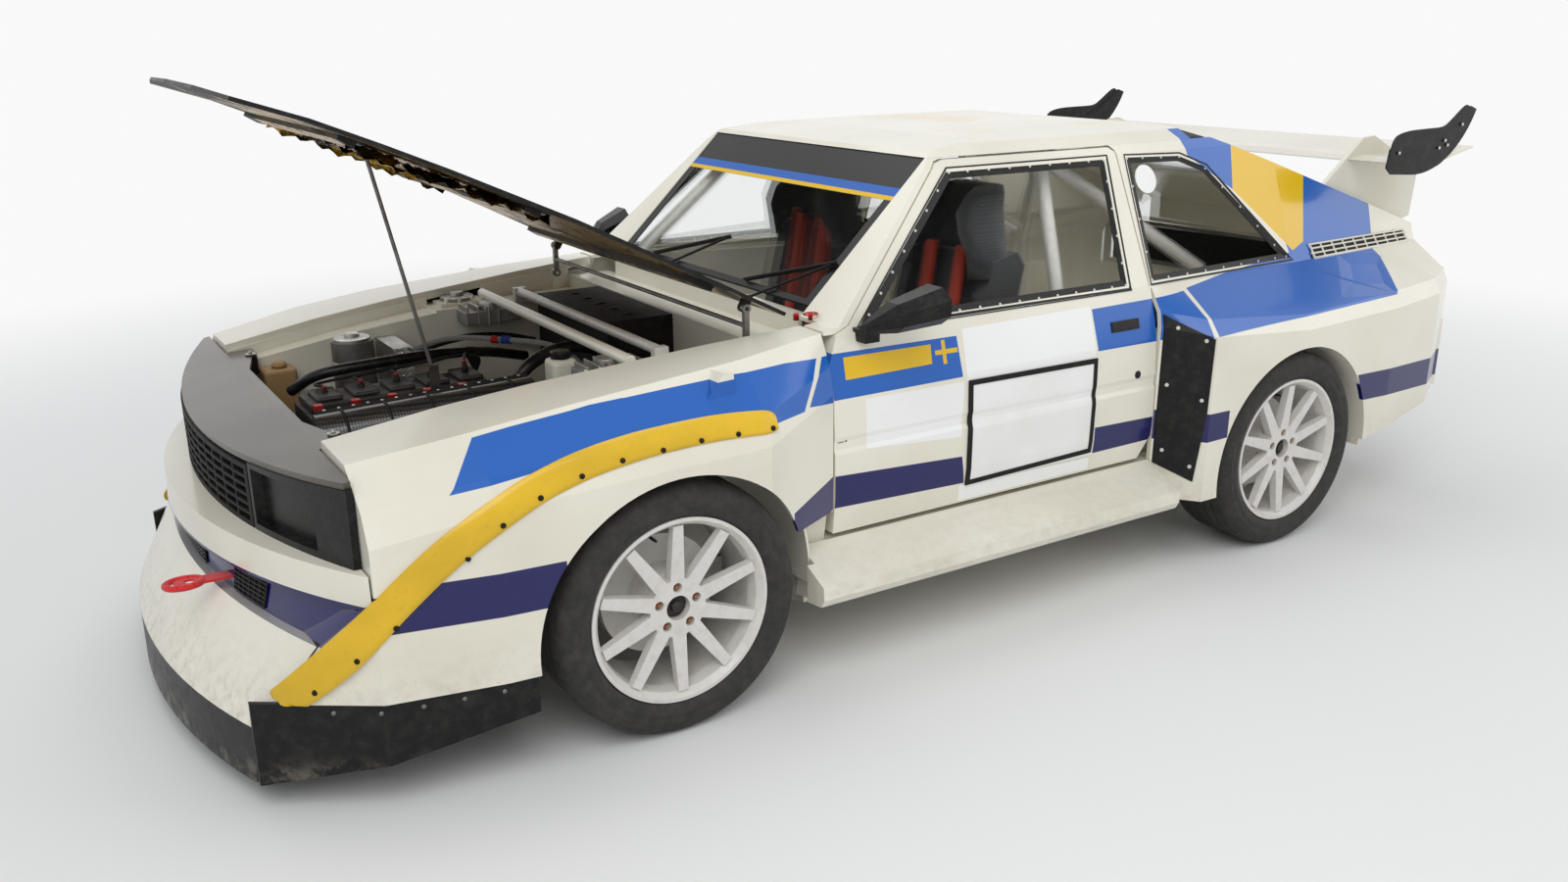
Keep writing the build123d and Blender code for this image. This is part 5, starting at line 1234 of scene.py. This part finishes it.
def seat_shell(z, half, deep, front, side):
    """One row of points across the seat head."""
    row = []
    for k in range(13):
        u = (k - 6) / 6
        wing = max(0.0, abs(u) - 0.55) / 0.45
        away = half * min(1.0, abs(u) * 1.5) * (1 if u > 0 else -1)
        row.append((front - (z - 0.930) * 0.16 + deep * wing, side * (SEAT_Y + away), z))
    return row


def seat_heads(label, side):
    """Shoulder and head wings of a bucket seat, and the pads and straps of its harness."""
    kit = Kit()
    rows = []
    for z, half, deep in SEAT_HEAD:
        inner = seat_shell(z, half - 0.028, deep, -0.183, side)
        rows.append(seat_shell(z, half, deep, -0.225, side) + inner[::-1])
    kit.grid(rows, True, True)
    kit.make("seat_head_" + label, "seat", "root")
    straps, pads = Kit(), Kit()
    for y in (0.290, 0.430):
        for web, route, low, high, back, front in (
            (straps, HARNESS, 0, 0.004, 0.018, 0.018), (pads, HARNESS[:4], 0.006, 0.020, 0.025, 0.020)):
            section = ((low, -back), (low, back), (high, front), (high, -front))
            rows = [[(x + deep, side * (y + w), z) for deep, w in section] for x, z in route]
            web.grid(rows, True, web is pads)
    straps.make("harness_straps_" + label, "webbing", "root", smooth=False)
    pads.make("harness_pads_" + label, "pad", "root", 0.004)


# Foil under the bonnet: rear end, length, inner edge, width at the left and at the right
FOIL_X = 1.120
FOIL_LONG = 0.50
FOIL_Y = 0.250
FOIL_WIDTHS = (0.215, 0.070)


def bonnet_lining():
    """Creased gold foil that hangs under the bonnet, laid out with the bonnet shut."""
    lift = Matrix.Translation(PIN_OPEN) @ Matrix.Rotation(-BONNET_TILT, 4, "Y")
    for (label, side), width in zip(SIDES, FOIL_WIDTHS):
        kit = Kit()
        rows = []
        for i in range(34):
            along = FOIL_LONG * i / 33
            row = []
            for k in range(7):
                sag = 0.006 + 0.006 * math.sin(i * 1.9 + k * 2.3) + 0.004 * math.sin(i * 0.7 + k)
                edge = 0.014 if k == 6 else 0.0
                z = 0.8480 - along * 0.130 - sag - edge
                row.append((FOIL_X + along, side * (FOIL_Y + width * k / 6), z))
            rows.append(row)
        kit.grid(rows)
        piece = kit.make("bonnet_lining_" + label, "gold", "bonnet")
        for vertex in piece.data.vertices:
            vertex.co = lift @ (vertex.co - Vector(PIN_SHUT))


def scuttle_details():
    """Pull handle and knob by the windscreen, and the wiper blades."""
    knob, blades = Kit(), Kit()
    knob.boss((0.548, 0.600, 0), UP, (0.903, 0.918, 0.922), (0.008, 0.008, 0.005), 14)
    knob.tube(level_ring(0.520, 0.625, 0.921, 0.020, 0.014, 20), 0.0022, 8)
    knob.boss((0.520, 0.625, 0), UP, (0.905, 0.922), 0.006, 12)
    knob.make("pull_handle", "anodised_red", "root")
    for y in (0.300, -0.260):
        joint = Vector((0.394, y + 0.240, 1.029))
        along = Vector((-0.25, 0.93, 0.24)).normalized()
        ends = [joint + along * 0.015, joint - along * 0.34]
        blades.tube(ends, 0.0042, 8)
        blades.tube([p + Vector((-0.006, 0, -0.006)) for p in ends], 0.0026, 6)
    blades.make("wiper_blades", "matt", "root")


# Lamps of the studio: name, place, aim, size, watts
LAMPS = (
    ("key", (3.5, 5.0, 6.0), (0, 0, 0.6), 5.0, 255),
    ("fill", (-6.0, 4.0, 4.0), (-0.5, 0, 0.6), 5.0, 100),
    ("top", (0.0, -3.0, 7.0), (0, 0, 0.5), 6.0, 140),
)
# The floor fades to the backdrop between these distances
FLOOR_FADE = (2.6, 6.5)
BACKDROP = 0.95


def stand():
    """Floor, world and lamps of the studio."""
    bpy.ops.mesh.primitive_plane_add(size=60, location=(0, 0, 0))
    floor = bpy.context.object
    floor.name = "studio_floor"
    n = Nodes("floor_pale")
    pale = n.surface(n.mix(n.noise(0.6, 2.0), (0.80, 0.80, 0.79), (0.84, 0.84, 0.83)), 0.9)
    glow = n.add("ShaderNodeEmission", {"Strength": BACKDROP})[0]
    far = n.add("ShaderNodeVectorMath", {0: n.where}, operation="LENGTH")["Value"]
    floor.data.materials.append(n.finish(n.choose(n.span(far, *FLOOR_FADE), pale, glow)))
    n = Nodes("studio_world", "World")
    light = n.add("ShaderNodeBackground", {"Color": (0.93, 0.96, 1.0), "Strength": 0.50})[0]
    white = n.add("ShaderNodeBackground", {"Color": (1, 1, 1), "Strength": BACKDROP})[0]
    path = n.add("ShaderNodeLightPath", {})
    seen = n.most(path["Is Camera Ray"], path["Is Glossy Ray"], path["Is Transmission Ray"])
    bpy.context.scene.world = n.finish(n.choose(seen, light, white))
    for name, place, aim, size, watts in LAMPS:
        data = bpy.data.lights.new(name, "AREA")
        data.size = size
        data.energy = watts
        lamp = bpy.data.objects.new(name, data)
        lamp.location = place
        lamp.rotation_euler = (Vector(aim) - Vector(place)).to_track_quat("-Z", "Y").to_euler()
        bpy.context.scene.collection.objects.link(lamp)


# Camera, solved from the photograph: metres, radians, and millimetres of lens and sensor
CAMERA_PLACE = (2.359, 3.397, 1.635)
CAMERA_YAW = -2.1352
CAMERA_PITCH = -0.3085
CAMERA_ROLL = -0.0079
CAMERA_LENS = 29.96
CAMERA_SENSOR = 36


def make_camera():
    """Camera that sees the car as the photograph does."""
    level = math.cos(CAMERA_PITCH)
    ahead = Vector((level * math.cos(CAMERA_YAW), level * math.sin(CAMERA_YAW), math.sin(CAMERA_PITCH)))
    right = Vector((math.sin(CAMERA_YAW), -math.cos(CAMERA_YAW), 0))
    up = right.cross(ahead)
    across = math.cos(CAMERA_ROLL) * right + math.sin(CAMERA_ROLL) * up
    upward = -math.sin(CAMERA_ROLL) * right + math.cos(CAMERA_ROLL) * up
    turn = Matrix((across, upward, -ahead)).transposed().to_4x4()
    data = bpy.data.cameras.new("camera")
    data.lens = CAMERA_LENS
    data.sensor_width = CAMERA_SENSOR
    camera = bpy.data.objects.new("camera", data)
    camera.matrix_world = Matrix.Translation(CAMERA_PLACE) @ turn
    bpy.context.scene.collection.objects.link(camera)
    bpy.context.scene.camera = camera


bpy.context.scene.view_settings.view_transform = "Standard"
make_camera()
stand()
dress_nodes()
for label, side in SIDES:
    arch_strip(label, side)
    window_trim(label, side)
    number_board(label, side)
    guard_screws(label, side)
    louvre(label, side)
    door_trim(label, side)
for corner, axle_x, side in WHEELS:
    wheel(corner, axle_x, side)
plenum_details()
ignition()
bay_containers()
bay_lines()
bay_structure()
two_tone_nodes()
slam_details()
nose_details()
bonnet_lining()
for label, side in SIDES:
    wing_ends(label, side)
    seat_heads(label, side)
scuttle_details()
rear_details()
for label, side in SIDES:
    skirt_bolts(label, side)
for node_name, round_width in ROUNDED.items():
    soften(NODES[node_name], round_width)
